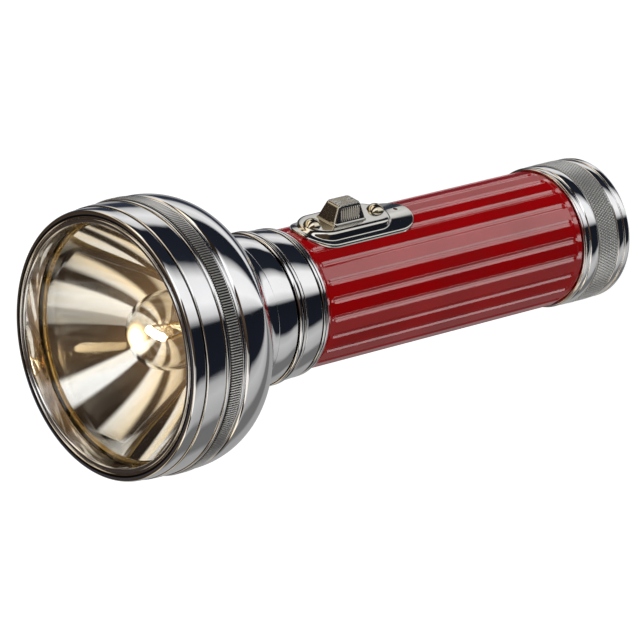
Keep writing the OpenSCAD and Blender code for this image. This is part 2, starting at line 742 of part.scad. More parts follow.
module switch_button() {
    top_y = button_y + button_h;
    end_slope = 2.1;
    side_slope = 1.2;
    core_w = button_w - 2 * 0.35;
    rib_count = 9;
    rib_w = 0.5;
    rib_z0 = button_z0 + end_slope + 0.3;
    rib_step = (button_len - 2 * end_slope - 0.6 - rib_w) / (rib_count - 1);
    rib_y = top_y - 0.5;
    ridge_count = 6;
    ridge_w = 0.45;
    ridge_depth = 0.3;
    ridge_z0 = rib_z0 + 0.6;
    ridge_step = (rib_step * (rib_count - 1) - 0.6) / (ridge_count - 1);
    color("silver") difference() {
        union() {
            sloping_block(button_z0, button_z1, core_w, button_y, top_y, end_slope, side_slope);
            intersection() {
                sloping_block(button_z0, button_z1, button_w, button_y, rib_y, end_slope, side_slope);
                for (i = [0 : rib_count - 1])
                    translate([-button_w, -top_y, rib_z0 + rib_step * i])
                        cube([2 * button_w, button_h, rib_w]);
            }
            translate([-shank_w / 2, -button_y - press_gap, shank_z0])
                cube([shank_w, button_y + press_gap - strip_y - strip_t, shank_len]);
        }
        for (i = [0 : ridge_count - 1])
            translate([-button_w, -top_y - cut_margin, ridge_z0 + ridge_step * i])
                cube([2 * button_w, cut_margin + ridge_depth, ridge_w]);
    }
}

module contact_strip() {
    color("goldenrod") translate([-strip_w / 2, -strip_y - strip_t, shank_z0 - 1])
        cube([strip_w, strip_t, strip_z1 - shank_z0 + 1]);
}

module tail_ferrule() {
    span = [ferrule_z0, ferrule_root_z];
    color("darkgray") outer_thread(ferrule_r, ferrule_in_r, span, tail_pitch, ferrule_z1);
}

module tail_cap() {
    ramp = 0.25;
    groove_r = cap_r - 0.35;
    band_h = 0.1;
    collar_w = 1.9;
    collar_h = 0.3;
    lip_w = 1.9;
    lip_h = 0.35;
    knurl_r = cap_r + 0.1;
    collar_z = cap_edge + 4 * ramp;
    knurl_z = collar_z + collar_w + 2 * ramp;
    knurl_z1 = knurl_z + cap_knurl_len;
    lip_z = cap_len - lip_w;
    outline = concat(
        [[0, 0]],
        arc(cap_r - cap_edge, cap_edge, cap_edge, -90, 0),
        [[cap_r, cap_edge + ramp], [groove_r, cap_edge + 2 * ramp], [groove_r, cap_edge + 3 * ramp]],
        bulge(cap_r - band_h, collar_z, collar_z + collar_w, band_h),
        [[groove_r, knurl_z - ramp], [groove_r, knurl_z]],
        [[knurl_r, knurl_z + ramp], [knurl_r, knurl_z1 - ramp]],
        [[groove_r, knurl_z1], [groove_r, knurl_z1 + ramp]],
        bulge(cap_r - collar_h, knurl_z1 + 2 * ramp, lip_z - 3 * ramp, collar_h),
        [[groove_r, lip_z - 2 * ramp], [groove_r, lip_z - ramp]],
        bulge(cap_r - lip_h, lip_z, cap_len, lip_h),
        [[cap_bore_r, cap_len], [cap_bore_r, cap_floor], [0, cap_floor]]
    );
    color("gainsboro") rotate_extrude() polygon(outline);
}

module cap_thread() {
    color("darkgray") inner_thread(cap_thread_r, cap_bore_r - press_gap, cap_thread_z, tail_pitch);
}

module tail_spring() {
    color("silver") wound_wire(spring_line, spring_wire);
}

module spring_plate() {
    color("goldenrod") sleeve(spring_foot_r + spring_wire + 1, 2, spring_plate_z, spring_z);
}

echo(tail_spring_gap = winding_gap(spring_line, spring_wire));
echo(filament_gap = winding_gap(filament_line, filament_wire));

bezel_ring();
bezel_thread();
lens();
lens_ring();
reflector();
bulb_glass();
bulb_stem();
lead_wires();
filament();
bulb_base();
bulb_insulator();
bulb_tip();
bulb_socket();
socket_plate();
insulating_disc();
head_shell();
head_thread();
neck_collar();
body_tube();
cell_liner();
front_cell();
front_cell_nub();
rear_cell();
rear_cell_nub();
switch_plate();
switch_rivets();
switch_button();
contact_strip();
tail_ferrule();
tail_cap();
cap_thread();
tail_spring();
spring_plate();
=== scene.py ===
"""Looks of a two-cell torch: chromed head and tail, grooved red barrel, slide switch and a lit bulb.

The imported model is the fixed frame. Shapes are surfaces worked out with numpy, in millimetres, along the
torch's axis, and become metres when they are put into a mesh.
"""

import json
import math

import bmesh
import bpy
import numpy as np
from mathutils import Matrix, Vector


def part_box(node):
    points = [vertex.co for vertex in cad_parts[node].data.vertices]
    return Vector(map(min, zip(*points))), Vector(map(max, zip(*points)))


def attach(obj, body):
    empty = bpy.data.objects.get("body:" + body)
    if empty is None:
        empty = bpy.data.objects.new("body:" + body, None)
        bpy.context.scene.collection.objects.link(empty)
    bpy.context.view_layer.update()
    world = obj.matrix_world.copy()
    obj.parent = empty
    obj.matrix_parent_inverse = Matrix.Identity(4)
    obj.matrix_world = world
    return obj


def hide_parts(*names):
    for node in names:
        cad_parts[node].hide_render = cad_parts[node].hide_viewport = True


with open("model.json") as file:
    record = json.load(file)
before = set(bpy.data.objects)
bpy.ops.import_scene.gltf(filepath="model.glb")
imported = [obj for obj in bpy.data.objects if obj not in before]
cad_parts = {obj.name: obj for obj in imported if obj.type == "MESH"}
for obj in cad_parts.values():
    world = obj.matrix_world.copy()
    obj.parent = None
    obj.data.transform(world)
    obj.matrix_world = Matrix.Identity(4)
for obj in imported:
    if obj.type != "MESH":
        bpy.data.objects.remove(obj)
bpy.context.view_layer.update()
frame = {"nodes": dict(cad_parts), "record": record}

bl_info = {
    "name": "Two-cell Torch",
    "version": (1, 0, 0),
    "blender": (4, 5, 0),
    "location": "View3D > Sidebar > Torch",
    "description": "Dresses the packed torch with turned, knurled and enamelled surfaces",
    "category": "Object",
}

MM, MICRON = 0.001, 1e-6
TURN = 2 * math.pi
MERGE = 1e-7  # metres within which points are one
SHARP = 40.0  # degrees past which an edge stays sharp


def span(node):
    """Outer radius, lowest and highest point of a turned CAD node, in millimetres."""
    low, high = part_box(node)
    return (high.x - low.x) / 2 / MM, low.z / MM, high.z / MM


BEZEL_R, BEZEL_Z0, BEZEL_Z1 = span("bezel_ring")
BELL_R, BELL_Z0, BELL_Z1 = span("head_shell")
COLLAR_R, COLLAR_Z0, COLLAR_Z1 = span("neck_collar")
BARREL_R, BARREL_Z0, BARREL_Z1 = span("body_tube")
CAP_R, CAP_Z0, CAP_Z1 = span("tail_cap")
LENS_R, LENS_Z0, LENS_Z1 = span("lens")
MIRROR_R, MIRROR_Z0, MIRROR_Z1 = span("reflector")
GLOBE_R, GLASS_Z0, GLASS_Z1 = span("bulb_glass")


# Sizes, colours and the view, as a user would change them


def count_setting(name, description, default, low, high):
    """Whole number for a user to change."""
    return bpy.props.IntProperty(name=name, description=description, default=default, min=low, max=high)


def value_setting(name, description, default, unit="LENGTH"):
    """Value for a user to change, a length in metres unless another unit is given."""
    return bpy.props.FloatProperty(name=name, description=description, default=default, unit=unit)


def angle_setting(name, description, degrees):
    """Angle for a user to change, given in degrees."""
    return bpy.props.FloatProperty(
        name=name, description=description, default=math.radians(degrees), subtype="ANGLE")


def colour_setting(name, description, default):
    """Colour for a user to change, as linear values."""
    return bpy.props.FloatVectorProperty(
        name=name, description=description, default=default, subtype="COLOR", min=0, max=1)


class TorchSizes(bpy.types.PropertyGroup):
    """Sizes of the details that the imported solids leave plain."""

    bezel_ridges: count_setting("Bezel ridges", "Straight ridges round the bezel", 320, 60, 400)
    bezel_ridge_height: value_setting("Bezel ridge height", "Height of a ridge on the bezel", 0.0006)
    cap_diamonds: count_setting("Cap diamonds", "Diamonds round the tail cap's knurl", 150, 40, 300)
    cap_diamond_height: value_setting("Cap diamond height", "Height of the tail cap's knurl", 0.00045)
    cap_diamond_length: value_setting("Cap diamond length", "Length of one diamond along the axis", 0.0016)
    grooves: count_setting("Grooves", "Grooves round the barrel", 24, 8, 60)
    groove_width: value_setting("Groove width", "Width of one groove at its lip", 0.0019)
    groove_depth: value_setting("Groove depth", "Depth of one groove", 0.00045)
    button_ribs: count_setting("Button ribs", "Ribs on each long side of the switch button", 9, 3, 12)
    glass_wall: value_setting("Glass wall", "Wall of the bulb's globe", 0.0008)


class TorchColours(bpy.types.PropertyGroup):
    """Colours of the finishes, as linear values."""

    chrome: colour_setting("Chrome", "Bright plating of head and tail", (0.82, 0.82, 0.83))
    nickel: colour_setting("Nickel", "Warmer plating of the switch", (0.70, 0.68, 0.63))
    enamel: colour_setting("Enamel", "Red enamel of the barrel", (0.36, 0.0012, 0.0025))
    silver: colour_setting("Silver", "Silvering of the reflector", (0.88, 0.86, 0.83))
    brass: colour_setting("Brass", "Brass of socket, rings and contacts", (0.72, 0.50, 0.20))
    glow: colour_setting("Glow", "Light of the filament", (1.0, 0.72, 0.38))
    floor: colour_setting("Floor", "Pale floor", (0.85, 0.85, 0.85))


class TorchView(bpy.types.PropertyGroup):
    """Camera and studio light."""

    azimuth: angle_setting("Azimuth", "Direction of the camera about the axis", -147.5)
    elevation: angle_setting("Elevation", "Height of the camera over the floor", 40.445)
    roll: angle_setting("Roll", "Turn of the camera that lays the torch across the picture", -104.352)
    distance: value_setting("Distance", "Distance from the camera to its target", 1.4449)
    target: bpy.props.FloatVectorProperty(
        name="Target", description="Point in the middle of the picture", default=(-0.00419, 0.00658, 0.10982),
        subtype="TRANSLATION")
    lens: value_setting("Lens", "Focal length in millimetres", 281.25, "CAMERA")
    key_power: value_setting("Key power", "Power of the large lamp", 3.4, "POWER")
    fill_power: value_setting("Fill power", "Power of the lamp beside the camera", 1.2, "POWER")
    glow_strength: value_setting("Glow strength", "Strength of the filament's light", 160.0, "NONE")


# Surfaces


def smooth_outline(corners, steps=7, closed=True):
    """Outline through rows of r, z and reach. At each corner a quadratic curve leaves one edge and meets the
    next a reach away from the corner, or at just under half of a shorter edge."""
    rows = np.asarray(corners, float)
    point, reach = rows[:, :2], rows[:, 2:]
    before = np.roll(point, 1, axis=0) - point
    after = np.roll(point, -1, axis=0) - point
    before_len = np.maximum(np.linalg.norm(before, axis=1, keepdims=True), 1e-9)
    after_len = np.maximum(np.linalg.norm(after, axis=1, keepdims=True), 1e-9)
    start = point + before * np.minimum(reach / before_len, 0.49)
    end = point + after * np.minimum(reach / after_len, 0.49)
    t = np.linspace(0, 1, steps)[None, :, None]
    curve = (1 - t) ** 2 * start[:, None] + 2 * t * (1 - t) * point[:, None] + t**2 * end[:, None]
    line = curve.reshape(-1, 2)
    neighbour = np.roll(line, -1, axis=0)
    if not closed:
        neighbour[-1] += 1.0
    return line[np.linalg.norm(neighbour - line, axis=1) > 1e-6]


def polar(r, a, z):
    """Grid of points about the axis: r cos a, r sin a, z."""
    return np.stack(np.broadcast_arrays(r * np.cos(a), r * np.sin(a), z), axis=-1)


def even_angles(columns):
    """Angles that part a turn evenly."""
    return np.linspace(0, TURN, columns, endpoint=False)


def revolve(outline, columns=240):
    """Grid of an r, z outline carried round the axis."""
    return polar(outline[:, :1], even_angles(columns), outline[:, 1:])


def ring_of_radii(heights, angles, radii, back_r):
    """Closed ring whose outside has a radius for each height and angle, and whose inside is plain."""
    back = np.full((2, len(angles)), back_r)
    z = np.concatenate([heights, heights[-1:], heights[:1]])[:, None]
    return polar(np.concatenate([radii, back]), angles, z)


def tube(path, radius, up, sides=10):
    """Round wire along a path: circles across the path's run, drawn to a point at both ends."""
    run = np.gradient(path, axis=0)
    run /= np.linalg.norm(run, axis=1, keepdims=True)
    side = np.cross(run, np.broadcast_to(up, run.shape))
    side /= np.linalg.norm(side, axis=1, keepdims=True)
    face = np.cross(side, run)
    a = even_angles(sides)[None, :, None]
    circles = path[:, None] + radius * (np.cos(a) * face[:, None] + np.sin(a) * side[:, None])
    ends = np.repeat(path[[0, -1], None], sides, axis=1)
    return np.concatenate([ends[:1], circles, ends[1:]])


def coil_path(turns, r0, r1, z0, z1, per_turn=32):
    """Centre line of a wound wire: angle, radius and height run evenly from one end to the other."""
    t = np.linspace(0, 1, int(turns * per_turn) + 1)
    return polar(r0 + (r1 - r0) * t, TURN * turns * t, z0 + (z1 - z0) * t)


def rounded_frame(half_x, z0, z1, corner, corner_points=9, side_points=12):
    """Points round a rectangle with round corners: four arcs, with even steps along the sides between them."""
    quarter = np.linspace(0, TURN / 4, corner_points)
    a = quarter[None, :] + np.arange(4)[:, None] * TURN / 4
    centre_x = np.array([1, -1, -1, 1])[:, None] * (half_x - corner)
    centre_z = np.array([z1 - corner, z1 - corner, z0 + corner, z0 + corner])[:, None]
    arcs = np.stack([centre_x + corner * np.cos(a), centre_z + corner * np.sin(a)], axis=-1)
    step = np.linspace(0, 1, side_points + 2)[1:-1][None, :, None]
    here, there = arcs[:, -1:], np.roll(arcs[:, :1], -1, axis=0)
    return np.concatenate([arcs, here + (there - here) * step], axis=1).reshape(-1, 2)


def loft(rows, **counts):
    """Grid through round-cornered frames, one for each row of half width, z0, z1, corner and depth y."""
    frames = np.stack([rounded_frame(*row[:4], **counts) for row in rows])
    y = np.broadcast_to(np.array([row[4] for row in rows])[:, None], frames.shape[:2])
    return np.stack([frames[..., 0], -y, frames[..., 1]], axis=-1)


def ease(t):
    """Smooth step from 0 to 1."""
    t = np.clip(t, 0, 1)
    return t * t * (3 - 2 * t)


def fade(z, lead_in):
    """1 along a band of heights, eased to nothing at both its ends."""
    return ease((z - z[0]) / lead_in) * ease((z[-1] - z) / lead_in)


def grid_faces(rows, columns, wrap_rows):
    """Quads between the neighbours of a grid whose columns close on themselves."""
    i = np.arange(rows if wrap_rows else rows - 1)[:, None]
    j = np.arange(columns)[None, :]
    down, right = (i + 1) % rows, (j + 1) % columns
    corners = [i * columns + j, i * columns + right, down * columns + right, down * columns + j]
    return np.stack(corners, axis=-1).reshape(-1, 4)


def seam_shade(grid):
    """Painted shade on each row of a turned piece: how far the row lies below the tallest rows within reach on
    both sides. It starts at a slight drop and eases to full; a drop as deep as a step gets none."""
    reach, start, rise, step = 0.8, 0.03, 0.12, 1.4
    r, z = np.hypot(grid[:, 0, 0], grid[:, 0, 1]), grid[:, 0, 2]
    apart = z[None, :] - z[:, None]
    above = np.where((apart > 0) & (apart < reach), r, 0).max(axis=1)
    below = np.where((apart < 0) & (apart > -reach), r, 0).max(axis=1)
    drop = np.minimum(above, below) - r
    return np.repeat(ease((drop - start) / rise) * (drop < step), grid.shape[1])


def mesh_of(name, grids, wrap_rows, seams=False):
    """One mesh of the grids, given in millimetres, with its seams and poles merged. A turned piece with seams
    carries painted shade for them in an attribute."""
    faces = [grid_faces(*grid.shape[:2], wrap_rows) for grid in grids]
    starts = np.cumsum([0] + [grid[..., 0].size for grid in grids])
    mesh = bpy.data.meshes.new(name)
    mesh.from_pydata(np.concatenate([grid.reshape(-1, 3) * MM for grid in grids]), [],
                     np.concatenate([face + start for face, start in zip(faces, starts)]))
    if seams:
        # Painted shade for the seams, kept as a mesh attribute
        painted_shade = mesh.attributes.new("seam_shade", "FLOAT", "POINT")
        painted_shade.data.foreach_set("value", np.concatenate([seam_shade(grid) for grid in grids]))
    shape = bmesh.new()
    shape.from_mesh(mesh)
    bmesh.ops.remove_doubles(shape, verts=shape.verts, dist=MERGE)
    shape.to_mesh(mesh)
    shape.free()
    return mesh


def soften(mesh, sharp):
    """Smooth shading that keeps the edges past an angle, in degrees."""
    mesh.shade_smooth()
    mesh.set_sharp_from_angle(angle=math.radians(sharp))


def add_object(name, data):
    """New object in the scene."""
    item = bpy.data.objects.new(name, data)
    bpy.context.scene.collection.objects.link(item)
    return item


def cut_holes(piece, cutters):
    """Takes closed cutter grids, given in millimetres, out of a piece for good."""
    cutter = add_object("cutter", mesh_of("cutter", cutters, wrap_rows=False))
    cut = piece.modifiers.new("holes", "BOOLEAN")
    cut.object = cutter
    cut.operation = "DIFFERENCE"
    cut.solver = "EXACT"
    depsgraph = bpy.context.evaluated_depsgraph_get()
    solid = bpy.data.meshes.new_from_object(piece.evaluated_get(depsgraph))
    piece.modifiers.clear()
    spares = (piece.data, cutter.data)
    piece.data = solid
    soften(solid, SHARP)
    bpy.data.objects.remove(cutter)
    for spare in spares:
        bpy.data.meshes.remove(spare)


def put_piece(name, grids, look, body, nodes=(), slot=None, wrap_rows=True, sharp=SHARP, seams=False):
    """Makes one piece of the grids in a finish, and hangs it on a body. The slot argument is not used."""
    mesh = mesh_of(name, grids, wrap_rows, seams)
    soften(mesh, sharp)
    mesh.materials.append(finish(look))
    piece = add_object(name, mesh)
    slot = slot or look
    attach(piece, body)
    if nodes:
        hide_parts(*nodes)
    return piece


def dress(node, look):
    """Gives a CAD node that keeps its shape its finish."""
    mesh = frame["nodes"][node].data
    mesh.materials.clear()
    mesh.materials.append(finish(look))


# Node helpers and shared effects


def add_node(tree, kind, values=(), **settings):
    """Adds a node, sets its properties, and sets or links its inputs by name or number."""
    node = tree.nodes.new(kind)
    for key, value in settings.items():
        setattr(node, key, value)
    for key, value in dict(values).items():
        socket = node.inputs[key]
        if isinstance(value, bpy.types.NodeSocket):
            tree.links.new(value, socket)
        else:
            socket.default_value = value
    return node


def math_node(tree, operation, first, second=0.0):
    """Result of one math operation on two numbers or sockets."""
    return add_node(tree, "ShaderNodeMath", {0: first, 1: second}, operation=operation).outputs[0]


def map_range(tree, value, low, high, new_low=0.0, new_high=1.0):
    """Value moved from one range into another, held at its ends."""
    values = {0: value, 1: low, 2: high, 3: new_low, 4: new_high}
    return add_node(tree, "ShaderNodeMapRange", values).outputs[0]


def between(tree, share, first, second):
    """Number between two numbers."""
    return map_range(tree, share, 0.0, 1.0, first, second)


def mix_colours(tree, share, first, second):
    """Colour between two colours."""
    return add_node(tree, "ShaderNodeMix", {0: share, 6: first, 7: second}, data_type="RGBA").outputs[2]


def noise(tree, vector, scale, detail, rough=0.5):
    """Level of a noise."""
    values = {"Vector": vector, "Scale": scale, "Detail": detail, "Roughness": rough}
    return add_node(tree, "ShaderNodeTexNoise", values).outputs["Fac"]


def mapped(tree, vector, **values):
    """Vector moved or scaled."""
    return add_node(tree, "ShaderNodeMapping", {"Vector": vector, **values}).outputs[0]


def length_of(tree, vector):
    """Length of a vector."""
    return add_node(tree, "ShaderNodeVectorMath", {0: vector}, operation="LENGTH").outputs["Value"]


def parts_of(tree, vector):
    """X, Y and Z of a vector."""
    return add_node(tree, "ShaderNodeSeparateXYZ", {0: vector}).outputs


def object_coords(tree):
    """Object coordinates, in metres."""
    return tree.nodes.new("ShaderNodeTexCoord").outputs["Object"]


def near_point(tree, coords, centre, reach, power):
    """Mask for painted light near a point: 1 at the point, falling as a power to 0 at its reach."""
    away = length_of(tree, mapped(tree, coords, Location=tuple(-c for c in centre)))
    return math_node(tree, "POWER", map_range(tree, away, 0.0, reach, 1.0, 0.0), power)


def feed(node, **results):
    """Links results to a node's inputs, whose names are written with underscores."""
    for key, result in results.items():
        node.id_data.links.new(result, node.inputs[key.replace("_", " ")])


def new_group(name, inputs, outputs):
    """Empty shader group with float inputs, given with their defaults, and float outputs."""
    group = bpy.data.node_groups.new(name, "ShaderNodeTree")
    for label, default in inputs:
        socket = group.interface.new_socket(label, in_out="INPUT", socket_type="NodeSocketFloat")
        socket.default_value = default
    for label in outputs:
        group.interface.new_socket(label, in_out="OUTPUT", socket_type="NodeSocketFloat")
    entry = group.nodes.new("NodeGroupInput")
    leave = group.nodes.new("NodeGroupOutput")
    return group, entry, leave


def handling_group():
    """Smudges and hairline scratches of a handled surface: large soft noise, and noise drawn out along Z."""
    group, entry, leave = new_group("Handling marks", [("Scale", 90.0)], ["Smudge", "Scratch"])
    coords = object_coords(group)
    smudge = noise(group, coords, entry.outputs[0], 5.0, 0.6)
    fine = math_node(group, "MULTIPLY", entry.outputs[0], 22.0)
    scratch = noise(group, mapped(group, coords, Scale=(1.0, 1.0, 0.04)), fine, 3.0, 0.7)
    feed(leave, Smudge=map_range(group, smudge, 0.38, 0.68), Scratch=map_range(group, scratch, 0.58, 0.74))


def dust_group():
    """Fine dust: small round specks, more of them where a slow noise is high."""
    group, entry, leave = new_group("Fine dust", [("Scale", 900.0), ("Amount", 0.5)], ["Dust"])
    coords = object_coords(group)
    specks = add_node(group, "ShaderNodeTexVoronoi", {"Vector": coords, "Scale": entry.outputs[0]})
    chance = math_node(group, "MULTIPLY", noise(group, coords, 70.0, 4.0), entry.outputs[1])
    size = math_node(group, "MULTIPLY", chance, 0.55)
    near = math_node(group, "SUBTRACT", size, specks.outputs["Distance"])
    feed(leave, Dust=map_range(group, near, 0.0, 0.12))


def turning_group():
    """Fine lines left by a lathe: waves across height and radius, broken up by noise."""
    group, entry, leave = new_group("Turning lines", [("Lines", 4200.0)], ["Height"])
    coords = object_coords(group)
    along = math_node(group, "ADD", parts_of(group, coords)["Z"], length_of(group, coords))
    wave = math_node(group, "MULTIPLY", along, entry.outputs[0])
    phase = math_node(group, "ADD", wave, noise(group, coords, 240.0, 2.0))
    feed(leave, Height=math_node(group, "SINE", phase))


def place_group(tree, name, **values):
    """Places a shared group in a material."""
    node = tree.nodes.new("ShaderNodeGroup")
    node.node_tree = bpy.data.node_groups[name]
    for key, value in values.items():
        node.inputs[key].default_value = value
    return node.outputs


# Materials


BLACK, WHITE = (0.0, 0.0, 0.0, 1.0), (1.0, 1.0, 1.0, 1.0)
GREY_DUST = (0.42, 0.41, 0.40, 1.0)
# Painted shade laid into the seams of turned pieces
SEAM_SHADE = (0.045, 0.042, 0.04, 1.0)
# Painted shade laid into the valleys of the knurls
VALLEY_SHADE = (0.05, 0.048, 0.045, 1.0)


def start_material(name, **constants):
    """New material with a Principled shader; constants are set on the shader's own sockets. Its name ends in
    finish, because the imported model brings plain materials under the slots' names."""
    material = bpy.data.materials.new(f"{name}_finish")
    material.use_nodes = True
    tree = material.node_tree
    tree.nodes.clear()
    shader = tree.nodes.new("ShaderNodeBsdfPrincipled")
    feed(tree.nodes.new("ShaderNodeOutputMaterial"), Surface=shader.outputs[0])
    for key, value in constants.items():
        shader.inputs[key.replace("_", " ")].default_value = value
    return tree, shader


def finish(name):
    """Finish of that name."""
    return bpy.data.materials[f"{name}_finish"]


def rgba(colour, share=1.0):
    """Colour with alpha, dimmed by a share."""
    return (*[channel * share for channel in colour], 1.0)


def set_bump(shader, height, microns, strength):
    """Bump from a height, for a depth in microns."""
    values = {"Height": height, "Distance": microns * MICRON, "Strength": strength}
    feed(shader, Normal=add_node(shader.id_data, "ShaderNodeBump", values).outputs[0])


def plated(name, colour, rough, smudge_rough, dull, dust):
    """Bright plating: smudges and hairlines roughen it, dull patches dim it, dust greys it, and painted shade
    darkens the seams."""
    tree, shader = start_material(name, Metallic=1.0)
    marks = place_group(tree, "Handling marks", Scale=60.0)
    specks = place_group(tree, "Fine dust", Scale=1500.0, Amount=dust)
    bright = mix_colours(tree, marks["Smudge"], rgba(colour), rgba(colour, dull))
    dusty = mix_colours(tree, specks["Dust"], bright, GREY_DUST)
    # Painted shade: the seams darken by the mesh attribute that mesh_of writes
    painted_shade = add_node(tree, "ShaderNodeAttribute", attribute_name="seam_shade").outputs["Fac"]
    base = between(tree, marks["Smudge"], rough, smudge_rough)
    hair = math_node(tree, "MULTIPLY", marks["Scratch"], 0.05)
    speck_rough = math_node(tree, "MULTIPLY", specks["Dust"], 0.35)
    total = math_node(tree, "ADD", math_node(tree, "ADD", base, hair), speck_rough)
    feed(shader, Base_Color=mix_colours(tree, painted_shade, dusty, SEAM_SHADE), Roughness=total)
    set_bump(shader, marks["Scratch"], 4, 0.4)
    return tree, shader


def knurled(name, colour, rough, low_r, high_r):
    """Knurled plating: painted shade darkens it towards the valleys, told by the distance from the axis."""
    tree, shader = plated(name, colour, rough, rough + 0.08, dull=0.85, dust=0.3)
    radius = length_of(tree, mapped(tree, object_coords(tree), Scale=(1.0, 1.0, 0.0)))
    crest = map_range(tree, radius, low_r * MM, high_r * MM)
    unshaded = shader.inputs["Base Color"].links[0].from_socket
    # Painted shade: darker towards the valleys, lighter on the crests
    feed(shader, Base_Color=mix_colours(tree, crest, VALLEY_SHADE, unshaded))


def turned_metal(name, colour, rough, lines, microns):
    """Turned metal: lathe lines in the surface, and tarnish from slow noise."""
    tree, shader = start_material(name, Metallic=1.0)
    marks = place_group(tree, "Handling marks", Scale=140.0)
    cut = place_group(tree, "Turning lines", Lines=lines)
    feed(shader, Base_Color=mix_colours(tree, marks["Smudge"], rgba(colour), rgba(colour, 0.62)),
         Roughness=between(tree, marks["Smudge"], rough, rough + 0.2))
    set_bump(shader, cut["Height"], microns, 0.6)


def red_enamel(colour):
    """Stoved enamel: slow shifts of red, faint orange peel, hairlines and a little dust."""
    tree, shader = start_material("red_enamel", Specular_IOR_Level=0.24)
    marks = place_group(tree, "Handling marks", Scale=45.0)
    specks = place_group(tree, "Fine dust", Scale=1300.0, Amount=0.42)
    red = mix_colours(tree, marks["Smudge"], rgba(colour), rgba(colour, 0.78))
    hairlines = math_node(tree, "MULTIPLY", marks["Scratch"], 0.25)
    worn = mix_colours(tree, hairlines, red, rgba((0.36, 0.006, 0.008)))
    thin_dust = math_node(tree, "MULTIPLY", specks["Dust"], 0.15)
    dusty = mix_colours(tree, thin_dust, worn, rgba((0.38, 0.03, 0.03)))
    feed(shader, Base_Color=dusty, Roughness=between(tree, marks["Smudge"], 0.06, 0.12))
    set_bump(shader, noise(tree, object_coords(tree), 520.0, 2.0), 30, 0.35)


def silvered(colour, glow, centre, reach):
    """Silvering of the reflector: streaks that run out from the middle, warm tarnish and fine dust, and a
    painted glow on the dust near the bulb, as if the filament lit it."""
    tree, shader = start_material("silvered", Metallic=1.0, Emission_Strength=1.7)
    coords = object_coords(tree)
    split = parts_of(tree, coords)
    angle = math_node(tree, "ARCTAN2", split["Y"], split["X"])
    round_x = math_node(tree, "COSINE", angle)
    round_y = math_node(tree, "SINE", angle)
    outward = math_node(tree, "MULTIPLY", split["Z"], 6.0)
    spoke = add_node(tree, "ShaderNodeCombineXYZ", {0: round_x, 1: round_y, 2: outward})
    streak = noise(tree, spoke.outputs[0], 6.0, 4.0, 0.55)
    warm = map_range(tree, streak, 0.42, 0.66)
    specks = place_group(tree, "Fine dust", Scale=1100.0, Amount=0.5)
    tint = mix_colours(tree, warm, rgba(colour), rgba((0.84, 0.78, 0.68)))
    dusty = mix_colours(tree, specks["Dust"], tint, rgba((0.80, 0.70, 0.55)))
    speck_rough = math_node(tree, "MULTIPLY", specks["Dust"], 0.22)
    rough = math_node(tree, "ADD", between(tree, warm, 0.02, 0.07), speck_rough)
    # Painted glow: emission on the dust that fades with distance from the filament
    near = near_point(tree, coords, centre, reach, 1.6)
    painted_glow = math_node(tree, "MULTIPLY", near, between(tree, specks["Dust"], 0.35, 1.0))
    feed(shader, Base_Color=dusty, Roughness=rough, Emission_Color=mix_colours(tree, painted_glow, BLACK, rgba(glow)))
    set_bump(shader, streak, 40, 0.2)


def clear_glass(name, tint, dust):
    """Clear polished glass that lets lamp light through without bending it; smudges and dust dim it a
    little."""
    tree, shader = start_material(name, Roughness=0.0, IOR=1.48, Transmission_Weight=1.0, Metallic=0.0)
    out = shader.outputs[0].links[0].to_node
    marks = place_group(tree, "Handling marks", Scale=70.0)
    specks = place_group(tree, "Fine dust", Scale=1200.0, Amount=dust)
    smudged = mix_colours(tree, marks["Smudge"], rgba(tint), rgba(tint, 0.96))
    feed(shader, Base_Color=mix_colours(tree, specks["Dust"], smudged, rgba(tint, 0.86)))
    clear = add_node(tree, "ShaderNodeBsdfTransparent", {"Color": rgba(tint)})
    light = tree.nodes.new("ShaderNodeLightPath")
    mix = add_node(tree, "ShaderNodeMixShader",
                   {0: light.outputs["Is Shadow Ray"], 1: shader.outputs[0], 2: clear.outputs[0]})
    feed(out, Surface=mix.outputs[0])
    return tree, shader


def glass_with_painted_glow(tint, glow, centre, reach, strength):
    """Bulb glass with a painted glow where it lies near the filament: the emission falls off with distance from
    it.
    """
    tree, shader = clear_glass("bulb_glass", tint, 0.3)
    # Painted glow: emission on the glass near the filament
    near = near_point(tree, object_coords(tree), centre, reach, 2.0)
    feed(shader, Emission_Color=mix_colours(tree, near, BLACK, rgba(glow)))
    shader.inputs["Emission Strength"].default_value = strength


def hot_wire(glow, strength):
    """White-hot wire, a little cooler in patches."""
    tree, shader = start_material(
        "hot_wire", Base_Color=rgba((0.3, 0.3, 0.3)), Roughness=0.6, Emission_Strength=strength)
    heat = noise(tree, object_coords(tree), 900.0, 2.0)
    feed(shader, Emission_Color=mix_colours(tree, heat, rgba(glow), rgba((1.0, 0.86, 0.62))))


def fibre(name, colour, dark):
    """Pressed fibre or wound card: flecks drawn out round the axis, on a matte ground."""
    tree, shader = start_material(name)
    drawn = mapped(tree, object_coords(tree), Scale=(1.0, 1.0, 6.0))
    fleck = noise(tree, drawn, 420.0, 6.0, 0.7)
    share = map_range(tree, fleck, 0.35, 0.7)
    feed(shader, Base_Color=mix_colours(tree, share, rgba(colour), rgba(colour, dark)),
         Roughness=between(tree, share, 0.75, 0.95))
    set_bump(shader, fleck, 100, 0.5)


def cell_jacket(colour, band, z0, z1):
    """Plain jacket of a cell: a paler band near each end, with rubbed edges."""
    tree, shader = start_material("cell_jacket", Coat_Weight=0.4)
    place = map_range(tree, parts_of(tree, object_coords(tree))["Z"], z0, z1, 0.0, 2.0)
    within = math_node(tree, "PINGPONG", place, 0.5)
    edge = math_node(tree, "LESS_THAN", within, 0.07)
    marks = place_group(tree, "Handling marks", Scale=80.0)
    plain = mix_colours(tree, edge, rgba(colour), rgba(band))
    rubbed = math_node(tree, "MULTIPLY", marks["Scratch"], 0.4)
    worn = mix_colours(tree, rubbed, plain, rgba((0.5, 0.5, 0.5)))
    feed(shader, Base_Color=worn, Roughness=between(tree, marks["Smudge"], 0.28, 0.5))


